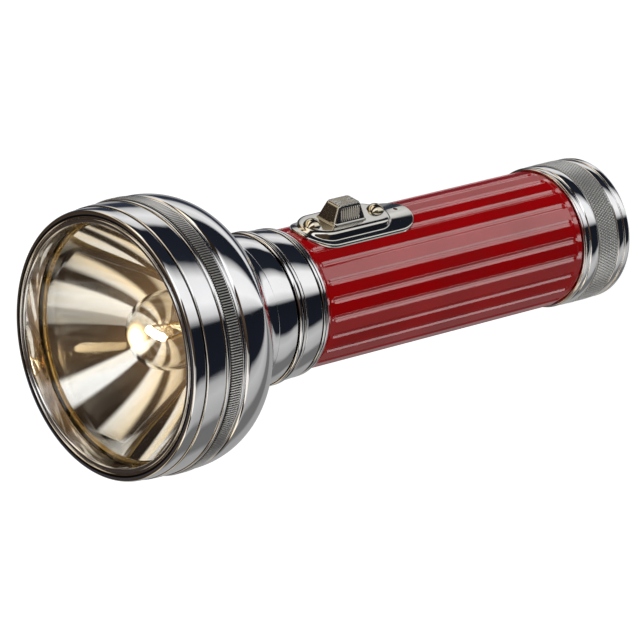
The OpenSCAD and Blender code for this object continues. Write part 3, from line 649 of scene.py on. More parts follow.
def glazed_black():
    """Black vitreous insulator with a few pits."""
    tree, shader = start_material("black_glass", Coat_Weight=0.5)
    pits = noise(tree, object_coords(tree), 700.0, 4.0)
    shade = mix_colours(tree, pits, rgba((0.012, 0.012, 0.014)), rgba((0.05, 0.05, 0.055)))
    feed(shader, Base_Color=shade, Roughness=map_range(tree, pits, 0.3, 0.7, 0.08, 0.3))
    set_bump(shader, pits, 50, 0.4)


def make_materials(scene):
    """Builds the shared effects and every finish once."""
    handling_group()
    dust_group()
    turning_group()
    sizes, colours = scene.torch_sizes, scene.torch_colours
    plated("chrome", colours.chrome, rough=0.035, smudge_rough=0.075, dull=0.93, dust=0.30)
    plated("nickel_trim", colours.nickel, rough=0.07, smudge_rough=0.16, dull=0.78, dust=0.42)
    dimmed = rgba(colours.nickel, 0.85)[:3]
    plated("button_nickel", dimmed, rough=0.10, smudge_rough=0.2, dull=0.7, dust=0.45)
    plated("rivet_brass", (0.74, 0.67, 0.52), rough=0.10, smudge_rough=0.2, dull=0.75, dust=0.4)
    ridge, diamond = sizes.bezel_ridge_height / MM, sizes.cap_diamond_height / MM
    knurled("bezel_knurl_metal", (0.88, 0.87, 0.84), 0.40, BEZEL_R - ridge * 0.7, BEZEL_R)
    knurled("tail_knurl_metal", (0.86, 0.86, 0.84), 0.40, CAP_R - diamond * 1.2, CAP_R - 0.1)
    red_enamel(colours.enamel)
    clear_glass("lens_glass", (0.985, 0.995, 0.99), dust=0.25)
    clear_glass("stem_glass", (0.95, 0.74, 0.42), dust=0.2)
    filament_z = sum(c.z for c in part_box("filament")) / 2
    # The orange is the colour of the painted glow on the reflector near the bulb
    silvered(colours.silver, (1.0, 0.55, 0.22), (0.0, 0.0, filament_z), reach=0.028)
    # Painted glow on the bulb glass, centred 6 mm in front of the filament
    crown = (0.0, 0.0, filament_z + 0.006)
    glass_with_painted_glow((0.99, 0.985, 0.96), colours.glow, crown, reach=0.0054, strength=6.0)
    hot_wire(colours.glow, scene.torch_view.glow_strength)
    turned_metal("brass", colours.brass, rough=0.2, lines=5200.0, microns=12)
    turned_metal("steel", (0.56, 0.56, 0.57), rough=0.26, lines=6200.0, microns=15)
    fibre("fibre", (0.30, 0.15, 0.07), dark=0.55)
    fibre("paper", (0.62, 0.50, 0.34), dark=0.7)
    cells_z0, cells_z1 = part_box("rear_cell")[0].z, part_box("front_cell")[1].z
    cell_jacket((0.05, 0.10, 0.28), (0.70, 0.46, 0.24), cells_z0, cells_z1)
    glazed_black()


# Shapes of the pieces


def bezel_outline(ridge):
    """Section of the bezel: rolled foot, seat of the knurl, border bead, smooth band, seam, rounded nose with
    two beads, mouth and bore. The seat lies one ridge below the bezel's outside."""
    r = BEZEL_R - ridge
    z0, z1 = BEZEL_Z0, BEZEL_Z1
    bore, mouth = LENS_R + 0.85, LENS_R - 2.5
    seat = LENS_Z1 + 0.05
    seam = z1 - 4.6
    knurl_z1 = z0 + 5.6
    return smooth_outline([
        (bore, z0, 0.1), (r + 0.3, z0, 0.45), (r + 0.3, z0 + 0.95, 0.45), (r, z0 + 1.05, 0.05),
        (r, knurl_z1 + 0.15, 0.05), (r + 0.3, knurl_z1 + 0.25, 0.4), (r + 0.3, knurl_z1 + 1.1, 0.4),
        (r - 0.1, knurl_z1 + 1.2, 0.05), (r - 0.1, knurl_z1 + 1.4, 0.05), (r + 0.02, knurl_z1 + 1.8, 0.35),
        (r + 0.1, (knurl_z1 + seam) / 2 + 0.9, 2.2), (r - 0.05, seam - 0.1, 0.3),
        (r - 0.6, seam + 0.1, 0.1), (r - 0.6, seam + 0.4, 0.1), (r - 0.3, seam + 0.6, 0.25),
        (r - 0.4, z1 - 0.3, 1.9), (r - 1.5, z1 + 0.04, 1.3), (r - 2.6, z1 - 0.15, 0.5),
        (r - 2.75, z1 - 0.75, 0.08), (r - 2.95, z1 - 0.75, 0.08), (r - 3.1, z1 - 0.1, 0.5),
        (mouth, z1 - 0.1, 0.85), (mouth, seat, 0.3), (bore, seat, 0.1),
    ])


def bezel_knurl(ridges, ridge):
    """Straight ridges round the bezel: height follows a cosine of the angle, with broadened crests, and eases
    to nothing at both ends of the band."""
    r, sink, lead_in = BEZEL_R - ridge, 0.1, 0.45
    z = np.linspace(BEZEL_Z0 + 1.15, BEZEL_Z0 + 5.65, 17)
    a = even_angles(ridges * 6)
    wave = (0.5 + 0.5 * np.cos(ridges * a)) ** 0.7
    radii = r - sink + (ridge + sink) * fade(z, lead_in)[:, None] * (0.25 + 0.75 * wave[None, :])
    return ring_of_radii(z, a, radii, r - 0.3)


def bell_outline():
    """Section of the bell: a hollow quadratic sweep leaves the neck and runs on into the rounded rear, part of
    an ellipse about the widest place, and a shoulder steps in to the threaded spigot; the inside follows one
    sheet behind."""
    sheet, edge, fall = 1.0, 1.2, math.radians(70)
    turn_r, turn_len = 12.0, 16.0
    top = BEZEL_Z0 - 0.3
    sweep_z = top - edge
    spigot_r = LENS_R - 0.9
    neck_r = COLLAR_R - 0.95
    middle_r = BELL_R - turn_r
    foot = np.array([COLLAR_R + 0.45, COLLAR_Z1 + 1.6])

    def sweep(start, inset):
        """Hollow and round part together, from the foot up."""
        reach, run = turn_r - inset, turn_len - inset
        end = np.array([middle_r + reach * math.cos(fall), sweep_z - run * math.sin(fall)])
        slope = run * math.cos(fall) / (reach * math.sin(fall))
        bend = np.array([start[0], end[1] - (end[0] - start[0]) * slope])
        t = np.linspace(0, 1, 24, endpoint=False)[:, None]
        hollow = (1 - t) ** 2 * start + 2 * t * (1 - t) * bend + t**2 * end
        a = np.linspace(fall, 0, 56)
        rounded = np.stack([middle_r + reach * np.cos(a), sweep_z - run * np.sin(a)], axis=1)
        return np.concatenate([hollow, rounded])

    outside, inside = sweep(foot, 0.0), sweep(foot - (sheet, 0), sheet)
    b = np.linspace(0, TURN / 4, 10)[1:]
    shoulder = np.stack([BELL_R - edge + edge * np.cos(b), sweep_z + edge * np.sin(b)], axis=1)
    foot_line = smooth_outline([
        (neck_r - sheet, BELL_Z0, 0), (neck_r, BELL_Z0, 0.1), (neck_r, COLLAR_Z1 + 0.05, 0.05),
        (COLLAR_R + 0.3, COLLAR_Z1 + 0.05, 0.12), (COLLAR_R + 0.45, COLLAR_Z1 + 0.3, 0.15), (*foot, 0),
    ], closed=False)
    spigot = smooth_outline([
        (*shoulder[-1], 0), (spigot_r, top, 0.15), (spigot_r, BELL_Z1, 0.15), (spigot_r - 0.9, BELL_Z1, 0.15),
        (spigot_r - 0.9, top - sheet, 0.2), (BELL_R - sheet, top - sheet, 0.2), (*inside[-1], 0),
    ], closed=False)
    inner_foot = np.array([[neck_r - sheet, foot[1]]])
    return np.concatenate([foot_line[:-1], outside, shoulder[:-1], spigot[:-1], inside[::-1], inner_foot])


def collar_outline():
    """Section of the neck collar: lip, rear band, two beads side by side and front band."""
    r, z0, z1 = COLLAR_R - 0.65, COLLAR_Z0, COLLAR_Z1
    bore, sleeve, step = BARREL_R - 0.3, COLLAR_R - 0.9, BARREL_Z1 + 0.05
    bead, bead_w, top = z0 + 9.0, 1.2, COLLAR_R
    second = bead + bead_w + 0.2
    beads_z1 = second + bead_w
    return smooth_outline([
        (bore, z0, 0.05), (r - 0.1, z0, 0.55), (r - 0.1, z0 + 0.9, 0.35), (r - 0.45, z0 + 1.0, 0.05),
        (r - 0.45, z0 + 1.15, 0.05), (r - 0.05, z0 + 1.25, 0.3), (r - 0.05, z0 + 2.0, 0.35),
        (r - 0.6, z0 + 2.15, 0.1), (r - 0.6, z0 + 2.45, 0.1), (r - 0.1, z0 + 2.6, 0.25),
        (r + 0.1, (z0 + 2.6 + bead) / 2, 2.0), (r - 0.1, bead - 0.6, 0.25), (r - 0.6, bead - 0.45, 0.1),
        (r - 0.6, bead - 0.1, 0.1), (top, bead, 0.65), (top, bead + bead_w, 0.65),
        (r - 0.35, bead + bead_w + 0.1, 0.1), (top, second, 0.65), (top, beads_z1, 0.65),
        (r - 0.6, beads_z1 + 0.15, 0.1), (r - 0.6, beads_z1 + 0.5, 0.1),
        (r + 0.25, beads_z1 + 0.8, 0.3), (r + 0.65, (beads_z1 + z1) / 2, 2.2), (r + 0.25, z1, 0.5),
        (sleeve, z1, 0.05), (sleeve, step, 0.05), (bore, step, 0.05),
    ])


def barrel_grid(grooves, width, depth):
    """Barrel with grooves: each land is flat, R over the cosine of the angle from its middle; a groove takes
    off a ramp of the distance to its centre line, so that its walls are flat and its ends round; plain bands
    lie lower at both ends."""
    plain_r, plain_len, lip = BARREL_R - 0.35, 2.2, 0.025
    wall_slope, line_gap, step = math.radians(35), 1.6, 0.4
    wall = depth / math.tan(wall_slope)
    land_z0, land_z1 = BARREL_Z0 + plain_len, COLLAR_Z0 - plain_len
    line_z0, line_z1 = land_z0 + line_gap, land_z1 - line_gap
    pitch = TURN / grooves
    top, foot = width / 2, width / 2 - wall
    side = np.concatenate([
        [0.12, foot / 2, foot - 0.15], foot + lip * np.array([-1, 1, 2]), top + lip * np.array([-2, -1, 1, 6])])
    near = np.concatenate([-side[::-1], side]) / BARREL_R
    land = np.linspace(near[-1], pitch - near[-1], 9)[1:-1]
    a = (np.concatenate([near, land])[None, :] + (np.arange(grooves)[:, None] + 0.5) * pitch - TURN / 4).ravel()
    end = np.concatenate([
        np.linspace(0, plain_len - 0.5, 4), np.linspace(plain_len - 0.4, plain_len + 3.2, 31)])
    z = np.concatenate([
        BARREL_Z0 + end, np.linspace(BARREL_Z0 + 8, COLLAR_Z0 - 8, 30), (COLLAR_Z0 - end)[::-1], [BARREL_Z1]])
    turn = np.mod(a + TURN / 4, pitch) - pitch / 2
    from_land = np.mod(a + TURN / 4 + pitch / 2, pitch) - pitch / 2
    flat = np.minimum((BARREL_R - 0.09) / np.cos(from_land), BARREL_R + 0.03)
    past = np.maximum(np.maximum(line_z0 - z, z - line_z1), 0)
    away = np.hypot(turn[None, :] * BARREL_R, past[:, None])
    cut = depth * np.clip((top - away) / wall, 0, 1)
    lift = ease((z - land_z0 + step) / step) * ease((land_z1 + step - z) / step)
    radii = plain_r + lift[:, None] * (flat[None, :] - plain_r - cut)
    return ring_of_radii(z, a, radii, BARREL_R - 1.15)


def cap_outline(diamond):
    """Section of the tail cap: flat end, rounded edge, seam, collar, seat of the knurl, collar, groove and
    lip."""
    r, z1 = CAP_R - 0.1, CAP_Z1
    low = r - 0.4
    seat = CAP_R - diamond
    bore, end = r - 1.0, 1.6
    return smooth_outline([
        (0, CAP_Z0, 0), (r - 6.0, CAP_Z0, 0.6), (r - 5.6, CAP_Z0 + 0.25, 0.2), (r - 5.2, CAP_Z0, 0.5),
        (r, CAP_Z0, 2.2), (r, 2.5, 0.15), (low, 2.65, 0.08), (low, 2.95, 0.08), (r - 0.05, 3.1, 0.25),
        (r + 0.05, 4.2, 0.9), (r - 0.05, 5.2, 0.25), (low, 5.3, 0.05), (seat, 5.5, 0.05), (seat, 13.4, 0.05),
        (low, 13.6, 0.05), (r - 0.1, 13.8, 0.4), (r + 0.1, 15.3, 1.2), (r - 0.1, 16.8, 0.4), (low, 17.0, 0.08),
        (low, 17.4, 0.08), (r, 17.55, 0.6), (r, 18.9, 0.6), (r - 0.35, 19.0, 0.05), (r - 0.35, z1, 0.25),
        (bore, z1, 0.1), (bore, end, 0.1), (0, end, 0),
    ], closed=False)


def cap_knurl(diamonds, height, length):
    """Diamond knurl: height is the lesser of two ramps that climb round the cap in opposite hands, eased to
    nothing at both ends of the band."""
    sink, lead_in = 0.05, 0.35
    z = np.linspace(5.45, 13.45, 56)
    a = even_angles(diamonds * 6)
    slant = TURN * (z - z[0])[:, None] / length
    left = np.arccos(np.cos(diamonds * a[None, :] + slant)) / math.pi
    right = np.arccos(np.cos(diamonds * a[None, :] - slant)) / math.pi
    top = np.minimum(left, right) * 1.7
    radii = CAP_R - height - sink + (height + sink) * fade(z, lead_in)[:, None] * np.clip(0.15 + top, 0, 1)
    return ring_of_radii(z, a, radii, CAP_R - height - 0.25)


def thread_ring(node, pitch, depth, outside, span_z, plain_z=None):
    """Thread of a CAD node: a cosine ridge that climbs one pitch a turn and fades out over one lead-in at each
    end, on the node's own radii."""
    lead_in = 1.2
    a = even_angles(180)
    z = np.linspace(*span_z, int((span_z[1] - span_z[0]) / pitch * 16) + 1)
    if plain_z:
        z = np.append(z, plain_z)
    share = np.clip(np.minimum((z - span_z[0]) / lead_in, (span_z[1] - z) / lead_in), 0, 1)[:, None]
    wave = depth * (1 + np.cos(TURN * z[:, None] / pitch - a[None, :])) / 2
    box_r = span(node)[0]
    if outside:
        return ring_of_radii(z, a, box_r - depth + share * wave, box_r - depth - 0.25)
    root = box_r - depth - 0.35
    grid = ring_of_radii(z, a, root + depth - share * (depth - wave), box_r)
    return grid[:, ::-1]


def mirror_outline():
    """Section of the reflector: a parabola from the bulb's hole to the mouth, its flange, and its back."""
    mouth_r, depth, sheet = LENS_R - 3.4, 24.1, 1.0
    hole = span("bulb_socket")[0] + 0.1
    vertex = MIRROR_Z1 - depth
    r = np.linspace(hole, mouth_r, 96)
    front = np.stack([r, vertex + depth * (r / mouth_r) ** 2], axis=1)
    s = np.linspace(mouth_r, hole + 0.9, 64)
    back = np.stack([s, vertex + depth * (s / mouth_r) ** 2 - sheet], axis=1)
    flange = np.array([[MIRROR_R, MIRROR_Z1], [MIRROR_R, MIRROR_Z1 - 0.8], [mouth_r + 0.4, MIRROR_Z1 - 0.8]])
    foot = np.array([[hole + 0.9, MIRROR_Z0], [hole, MIRROR_Z0]])
    return np.concatenate([front, flange, back, foot])[::-1]


def glass_outline(wall):
    """Section of the bulb: up the inside of neck and globe, and back along the outside."""
    neck = 5.5
    centre = GLASS_Z1 - GLOBE_R
    inner_r, inner_neck = GLOBE_R - wall, neck - wall
    inner = np.linspace(TURN / 4, -math.acos(inner_neck / inner_r), 56)
    outer = np.linspace(-math.acos(neck / GLOBE_R), TURN / 4, 56)
    inside = np.stack([inner_r * np.cos(inner), centre + inner_r * np.sin(inner)], axis=1)
    outside = np.stack([GLOBE_R * np.cos(outer), centre + GLOBE_R * np.sin(outer)], axis=1)
    inside[0, 0] = outside[-1, 0] = 0.0
    foot = np.array([[inner_neck, GLASS_Z0], [neck, GLASS_Z0]])
    return np.concatenate([inside, foot, outside])


def stem_outline():
    """Section of the glass stem: a flared foot, a waist and a pressed head."""
    r, z0, z1 = span("bulb_stem")
    return smooth_outline([
        (0, z0, 0), (r, z0, 0.3), (r - 0.3, z0 + 0.5, 0.3), (2.6, z0 + 2.2, 1.2), (2.4, z1 - 2.4, 1.0),
        (3.1, z1 - 1.2, 0.7), (2.9, z1, 0.7), (0, z1, 0),
    ], closed=False)


def to_switch(grid, z):
    """Turns a grid about the Z axis to one about the -Y axis, at height z."""
    return np.stack([grid[..., 0], -grid[..., 2], grid[..., 1] + z], axis=-1)


def plate_grid():
    """Pressed switch plate: round-ended frames run from the barrel up the rim, over the saddle, up the raised
    deck and down into the button's window. A saddle row lies a rise above the barrel, the root of the squared
    radius less x squared; a deck row is flat."""
    low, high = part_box("switch_plate")
    z0, z1, half = low.z / MM, high.z / MM, high.x / MM
    deck = -low.y / MM
    saddle = deck - 1.3 - BARREL_R
    rear, front = span("switch_rivets")[1] - 1.2, z1 - 1.6
    deck_half = half - 1.7
    middle = sum(c.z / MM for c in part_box("switch_button")) / 2
    window = (1.8, middle - 7.0, middle + 2.9, 0.2)

    def saddle_row(inset, rise):
        """Frame drawn in from the plate's edge, at a rise above the barrel."""
        return (half - inset, z0 + inset, z1 - inset, half - inset, BARREL_R + rise)

    def deck_row(inset, y):
        """Frame drawn in from the deck's edge."""
        return (deck_half - inset, rear + inset, front - inset, deck_half - inset, y)

    rows = [
        saddle_row(0.0, 0.05), saddle_row(0.0, saddle - 0.4), saddle_row(0.07, saddle - 0.18),
        saddle_row(0.22, saddle - 0.04), saddle_row(0.45, saddle), deck_row(-0.2, BARREL_R + saddle),
        deck_row(-0.02, BARREL_R + saddle + 0.06), deck_row(0.1, BARREL_R + saddle + 0.22),
    ]
    curved = len(rows)
    shoulder = [(0.28, 1.0), (0.42, 0.72), (0.62, 0.46), (0.9, 0.24), (1.25, 0.09), (1.65, 0.02), (2.0, 0.0)]
    rows += [deck_row(inset, deck - fall) for inset, fall in shoulder]
    rows += [(*window, deck), (*window, BARREL_R + 0.05)]
    grid = loft(rows, corner_points=16, side_points=4)
    bent = np.r_[:curved, len(rows) - 1]
    radius = np.array([rows[k][4] for k in bent])[:, None]
    grid[bent, :, 1] = -np.sqrt(radius**2 - grid[bent, :, 0] ** 2)
    return grid


def button_grid(ribs):
    """Switch button: round-cornered frames draw in from a thin foot to the top. A cosine along the length
    raises ribs on the long sides, between plain borders, and a finer one cuts furrows across the top."""
    low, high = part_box("switch_button")
    z0, z1, half = low.z / MM, high.z / MM, high.x / MM
    top = -low.y / MM
    foot = 0.03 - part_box("switch_plate")[0].y / MM
    end_slope, side_slope, rib, furrow, furrows = 2.1, 1.2, 0.34, 0.16, 13
    core = half - 0.35
    height = top - foot

    def row(share, corner, shrink=0.0, narrow=1.0):
        """Frame at a share of the height, drawn in evenly by shrink and in width by narrow."""
        width = (core - side_slope * share - shrink) * narrow
        inset = end_slope * share + shrink
        return (width, z0 + inset, z1 - inset, min(corner, 0.9 * width), foot + height * share)

    rows = [(core, z0, z1, 0.5, foot), (core + 0.3, z0, z1, 0.7, foot), (core + 0.3, z0, z1, 0.7, foot + 0.22),
            (core + 0.1, z0 + 0.2, z1 - 0.2, 0.6, foot + 0.36)]
    rows += [row(s, 0.75) for s in np.linspace(0.1, 0.88, 16)]
    rows += [row(0.93, 0.75, 0.05), (*row(0.98, 0.7, 0.18)[:4], top - 0.06)]
    sides = len(rows)
    rows += [(*row(1.0, 0.5, 0.4, k)[:4], top) for k in (1.0, 0.85, 0.6, 0.35, 0.15, 0.02)]
    grid = loft(rows, corner_points=7, side_points=96)
    x, y, z = grid[..., 0], -grid[..., 1], grid[..., 2]
    on_side = np.abs(x) > np.abs(x).max(axis=1, keepdims=True) - 0.02
    rib_z0, rib_z1 = z0 + end_slope + 0.5, z1 - end_slope - 0.5
    along = (z - rib_z0) / (rib_z1 - rib_z0)
    inside = (along > 0) & (along < 1)
    wave = 0.5 - 0.5 * np.cos(TURN * along * ribs)
    tall = ease((y - foot - 0.8) / 0.5) * ease((top - 0.75 - y) / 0.4)
    grid[..., 0] += np.sign(x) * rib * (wave - 0.5) * tall * on_side * inside
    fine = 0.5 - 0.5 * np.cos(TURN * along * furrows)
    on_top = (np.arange(len(rows)) >= sides)[:, None]
    grid[..., 1] += furrow * fine * on_top * inside
    return grid


def rivet_grid(z, foot, radius, height):
    """Domed head with a small blind hole in its crown."""
    dome_r = (radius**2 + height**2) / (2 * height)
    a = np.linspace(math.asin(radius / dome_r), math.asin(0.5 / dome_r), 18)
    dome = np.stack([dome_r * np.sin(a), foot + height - dome_r + dome_r * np.cos(a)], axis=1)
    hole = [[0.42, dome[-1, 1] - 0.06], [0.38, dome[-1, 1] - 0.6], [0.0, dome[-1, 1] - 0.7]]
    rim = [[0.0, foot], [radius - 0.05, foot]]
    outline = np.concatenate([rim, dome, hole])
    return to_switch(revolve(outline, 64), z)


# Operators


class TORCH_OT_materials(bpy.types.Operator):
    """Build the shared effects and every finish"""

    bl_idname = "torch.materials"
    bl_label = "Finishes"

    def execute(self, context):
        make_materials(context.scene)
        return {"FINISHED"}


class TORCH_OT_bezel(bpy.types.Operator):
    """Turn the bezel and cut its ridges"""

    bl_idname = "torch.bezel"
    bl_label = "Bezel"

    def execute(self, context):
        sizes = context.scene.torch_sizes
        ridge = sizes.bezel_ridge_height / MM
        shell = revolve(bezel_outline(ridge), 288)
        put_piece("bezel_shell", [shell], "chrome", "bezel", ["bezel_ring"], seams=True)
        knurl = bezel_knurl(sizes.bezel_ridges, ridge)
        put_piece("bezel_knurl", [knurl], "bezel_knurl_metal", "bezel", slot="nickel_trim")
        return {"FINISHED"}


class TORCH_OT_bell(bpy.types.Operator):
    """Spin the bell and the neck collar"""

    bl_idname = "torch.bell"
    bl_label = "Bell and collar"

    def execute(self, context):
        put_piece("bell", [revolve(bell_outline(), 288)], "chrome", "torch_body", ["head_shell"])
        collar = revolve(collar_outline())
        put_piece("collar", [collar], "chrome", "torch_body", ["neck_collar"], seams=True)
        return {"FINISHED"}


class TORCH_OT_barrel(bpy.types.Operator):
    """Press the grooves of the barrel"""

    bl_idname = "torch.barrel"
    bl_label = "Barrel"

    def execute(self, context):
        sizes = context.scene.torch_sizes
        grid = barrel_grid(sizes.grooves, sizes.groove_width / MM, sizes.groove_depth / MM)
        put_piece("barrel", [grid], "red_enamel", "torch_body", ["body_tube"])
        return {"FINISHED"}


class TORCH_OT_tail(bpy.types.Operator):
    """Turn the tail cap, cut its knurl and wind its spring"""

    bl_idname = "torch.tail"
    bl_label = "Tail cap"

    def execute(self, context):
        sizes = context.scene.torch_sizes
        height = sizes.cap_diamond_height / MM
        shell = revolve(cap_outline(height))
        put_piece("tail_shell", [shell], "chrome", "tail_cap", ["tail_cap"], wrap_rows=False)
        knurl = cap_knurl(sizes.cap_diamonds, height, sizes.cap_diamond_length / MM)
        put_piece("tail_knurl", [knurl], "tail_knurl_metal", "tail_cap", slot="nickel_trim")
        r, z0, z1 = span("tail_spring")
        turns, wire, top_r = 4.5, 0.6, 8.0
        path = coil_path(turns, r - wire, top_r, z0 + wire, z1 - wire)
        coil = tube(path, wire, (0, 0, 1))
        put_piece("spring", [coil], "steel", "spring_stack", ["tail_spring"], wrap_rows=False)
        return {"FINISHED"}


class TORCH_OT_threads(bpy.types.Operator):
    """Cut the threads of bezel and tail"""

    bl_idname = "torch.threads"
    bl_label = "Threads"

    def execute(self, context):
        depth = 0.7
        root_z = BARREL_Z0 - 0.3
        for node, body, pitch, outside in [
            ("head_thread", "torch_body", 2.0, True), ("bezel_thread", "bezel", 2.0, False),
            ("tail_ferrule", "torch_body", 3.0, True), ("cap_thread", "tail_cap", 3.0, False),
        ]:
            _, z0, z1 = span(node)
            plain = z1 if z1 > root_z > z0 and outside else None
            grid = thread_ring(node, pitch, depth, outside, (z0, root_z if plain else z1), plain)
            put_piece(node.replace("_thread", "_screw"), [grid], "steel", body, [node])
        return {"FINISHED"}


class TORCH_OT_optics(bpy.types.Operator):
    """Grind the lens, silver the reflector and roll the lens ring"""

    bl_idname = "torch.optics"
    bl_label = "Lens and reflector"

    def execute(self, context):
        edge = 0.4
        lens = smooth_outline([
            (0, LENS_Z0, 0), (LENS_R, LENS_Z0, edge), (LENS_R, LENS_Z1, edge), (0, LENS_Z1, 0)], closed=False)
        put_piece("lens_disc", [revolve(lens)], "lens_glass", "lens_stack", ["lens"],
                  wrap_rows=False, sharp=60.0)
        ring_r, ring_z0, ring_z1 = span("lens_ring")
        inner = LENS_R - 3.0
        ring = smooth_outline([
            (inner, ring_z0, 0.5), (ring_r, ring_z0, 0.15), (ring_r, ring_z1, 0.15), (inner, ring_z1, 0.5)])
        put_piece("rolled_ring", [revolve(ring)], "brass", "lens_stack", ["lens_ring"])
        put_piece("mirror", [revolve(mirror_outline())[:, ::-1]], "silvered", "torch_body", ["reflector"])
        return {"FINISHED"}


class TORCH_OT_bulb(bpy.types.Operator):
    """Blow the bulb, draw its stem and wires and wind its filament"""

    bl_idname = "torch.bulb"
    bl_label = "Bulb"

    def execute(self, context):
        wall = context.scene.torch_sizes.glass_wall / MM
        put_piece("globe", [revolve(glass_outline(wall), 128)], "bulb_glass", "torch_body", ["bulb_glass"],
                  wrap_rows=False, sharp=70.0)
        put_piece("stem", [revolve(stem_outline(), 64)], "stem_glass", "torch_body", ["bulb_stem"],
                  "bulb_glass", wrap_rows=False)
        low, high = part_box("filament")
        half, height = (high.x - low.x) / 2 / MM, (low.z + high.z) / 2 / MM
        coil = coil_path(8, 0.8, 0.8, -half + 0.15, half - 0.15, 24)
        sag = 0.5 * (1 - (coil[:, 2] / half) ** 2)
        path = np.stack([coil[:, 2], coil[:, 1], height - coil[:, 0] + sag], axis=-1)
        put_piece("hot_coil", [tube(path, 0.26, (1, 0, 0), 8)], "hot_wire", "torch_body", ["filament"],
                  "filament", wrap_rows=False)
        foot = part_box("lead_wires")[0].z / MM
        foot_x, tip_x = 1.8, half + 0.75
        t = np.linspace(0, 1, 24)
        x = foot_x + (tip_x - foot_x) * ease(t * 0.9 + 0.05)
        leg = np.stack([x, np.zeros_like(t), foot + (height - foot) * t], axis=-1)
        legs = [tube(leg * (side, 1, 1), 0.3, (0, side, 0), 10) for side in (1, -1)]
        put_piece("support_wires", legs, "brass", "torch_body", ["lead_wires"], wrap_rows=False)
        return {"FINISHED"}


class TORCH_OT_switch(bpy.types.Operator):
    """Press the switch plate, head its rivets and shape the button"""

    bl_idname = "torch.switch"
    bl_label = "Switch"

    def execute(self, context):
        plate = put_piece("pressed_plate", [plate_grid()], "nickel_trim", "torch_body", ["switch_plate"])
        plate_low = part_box("switch_plate")[0]
        low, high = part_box("switch_rivets")
        pin_z = (plate_low.z + low.z) / 2 / MM - 0.6
        pin_r, pin_y0, pin_y1 = 0.7, BARREL_R - 1, BARREL_R + 3
        pin = np.array([[0, pin_y0], [pin_r, pin_y0], [pin_r, pin_y1], [0, pin_y1]])
        cut_holes(plate, [to_switch(revolve(pin, 32), pin_z)])
        radius = high.x / MM
        deck, sink = -plate_low.y / MM, 0.25
        places = (low.z / MM + radius, high.z / MM - radius)
        heads = [rivet_grid(z, deck - sink, radius, -low.y / MM - deck + sink) for z in places]
        put_piece("rivet_heads", heads, "rivet_brass", "torch_body", ["switch_rivets"], "nickel_trim",
                  wrap_rows=False)
        button = button_grid(context.scene.torch_sizes.button_ribs)
        put_piece("slide_button", [button], "button_nickel", "switch_slider", ["switch_button"], "nickel_trim",
                  wrap_rows=False, sharp=50.0)
        return {"FINISHED"}


class TORCH_OT_inner(bpy.types.Operator):
    """Finish the inner pieces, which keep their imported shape"""

    bl_idname = "torch.inner"
    bl_label = "Inner pieces"

    def execute(self, context):
        slots = {row["node"]: row["material_slot"] for row in frame["record"]["subparts"]}
        for node in (
            "bulb_base", "bulb_insulator", "bulb_tip", "bulb_socket", "socket_plate", "insulating_disc",
            "cell_liner", "front_cell", "front_cell_nub", "rear_cell", "rear_cell_nub", "contact_strip",
            "spring_plate",
        ):
            dress(node, slots[node])
        return {"FINISHED"}


# Stage


def camera_basis(azimuth, elevation, roll):
    """Right, up and back vectors of a camera at an azimuth and elevation, rolled about its own axis."""
    back = Vector((math.cos(azimuth) * math.cos(elevation), math.sin(azimuth) * math.cos(elevation),
                   math.sin(elevation)))
    right = Vector((0, 0, 1)).cross(back).normalized()
    up = back.cross(right)
    turned = right * math.cos(roll) + up * math.sin(roll)
    return turned, back.cross(turned), back


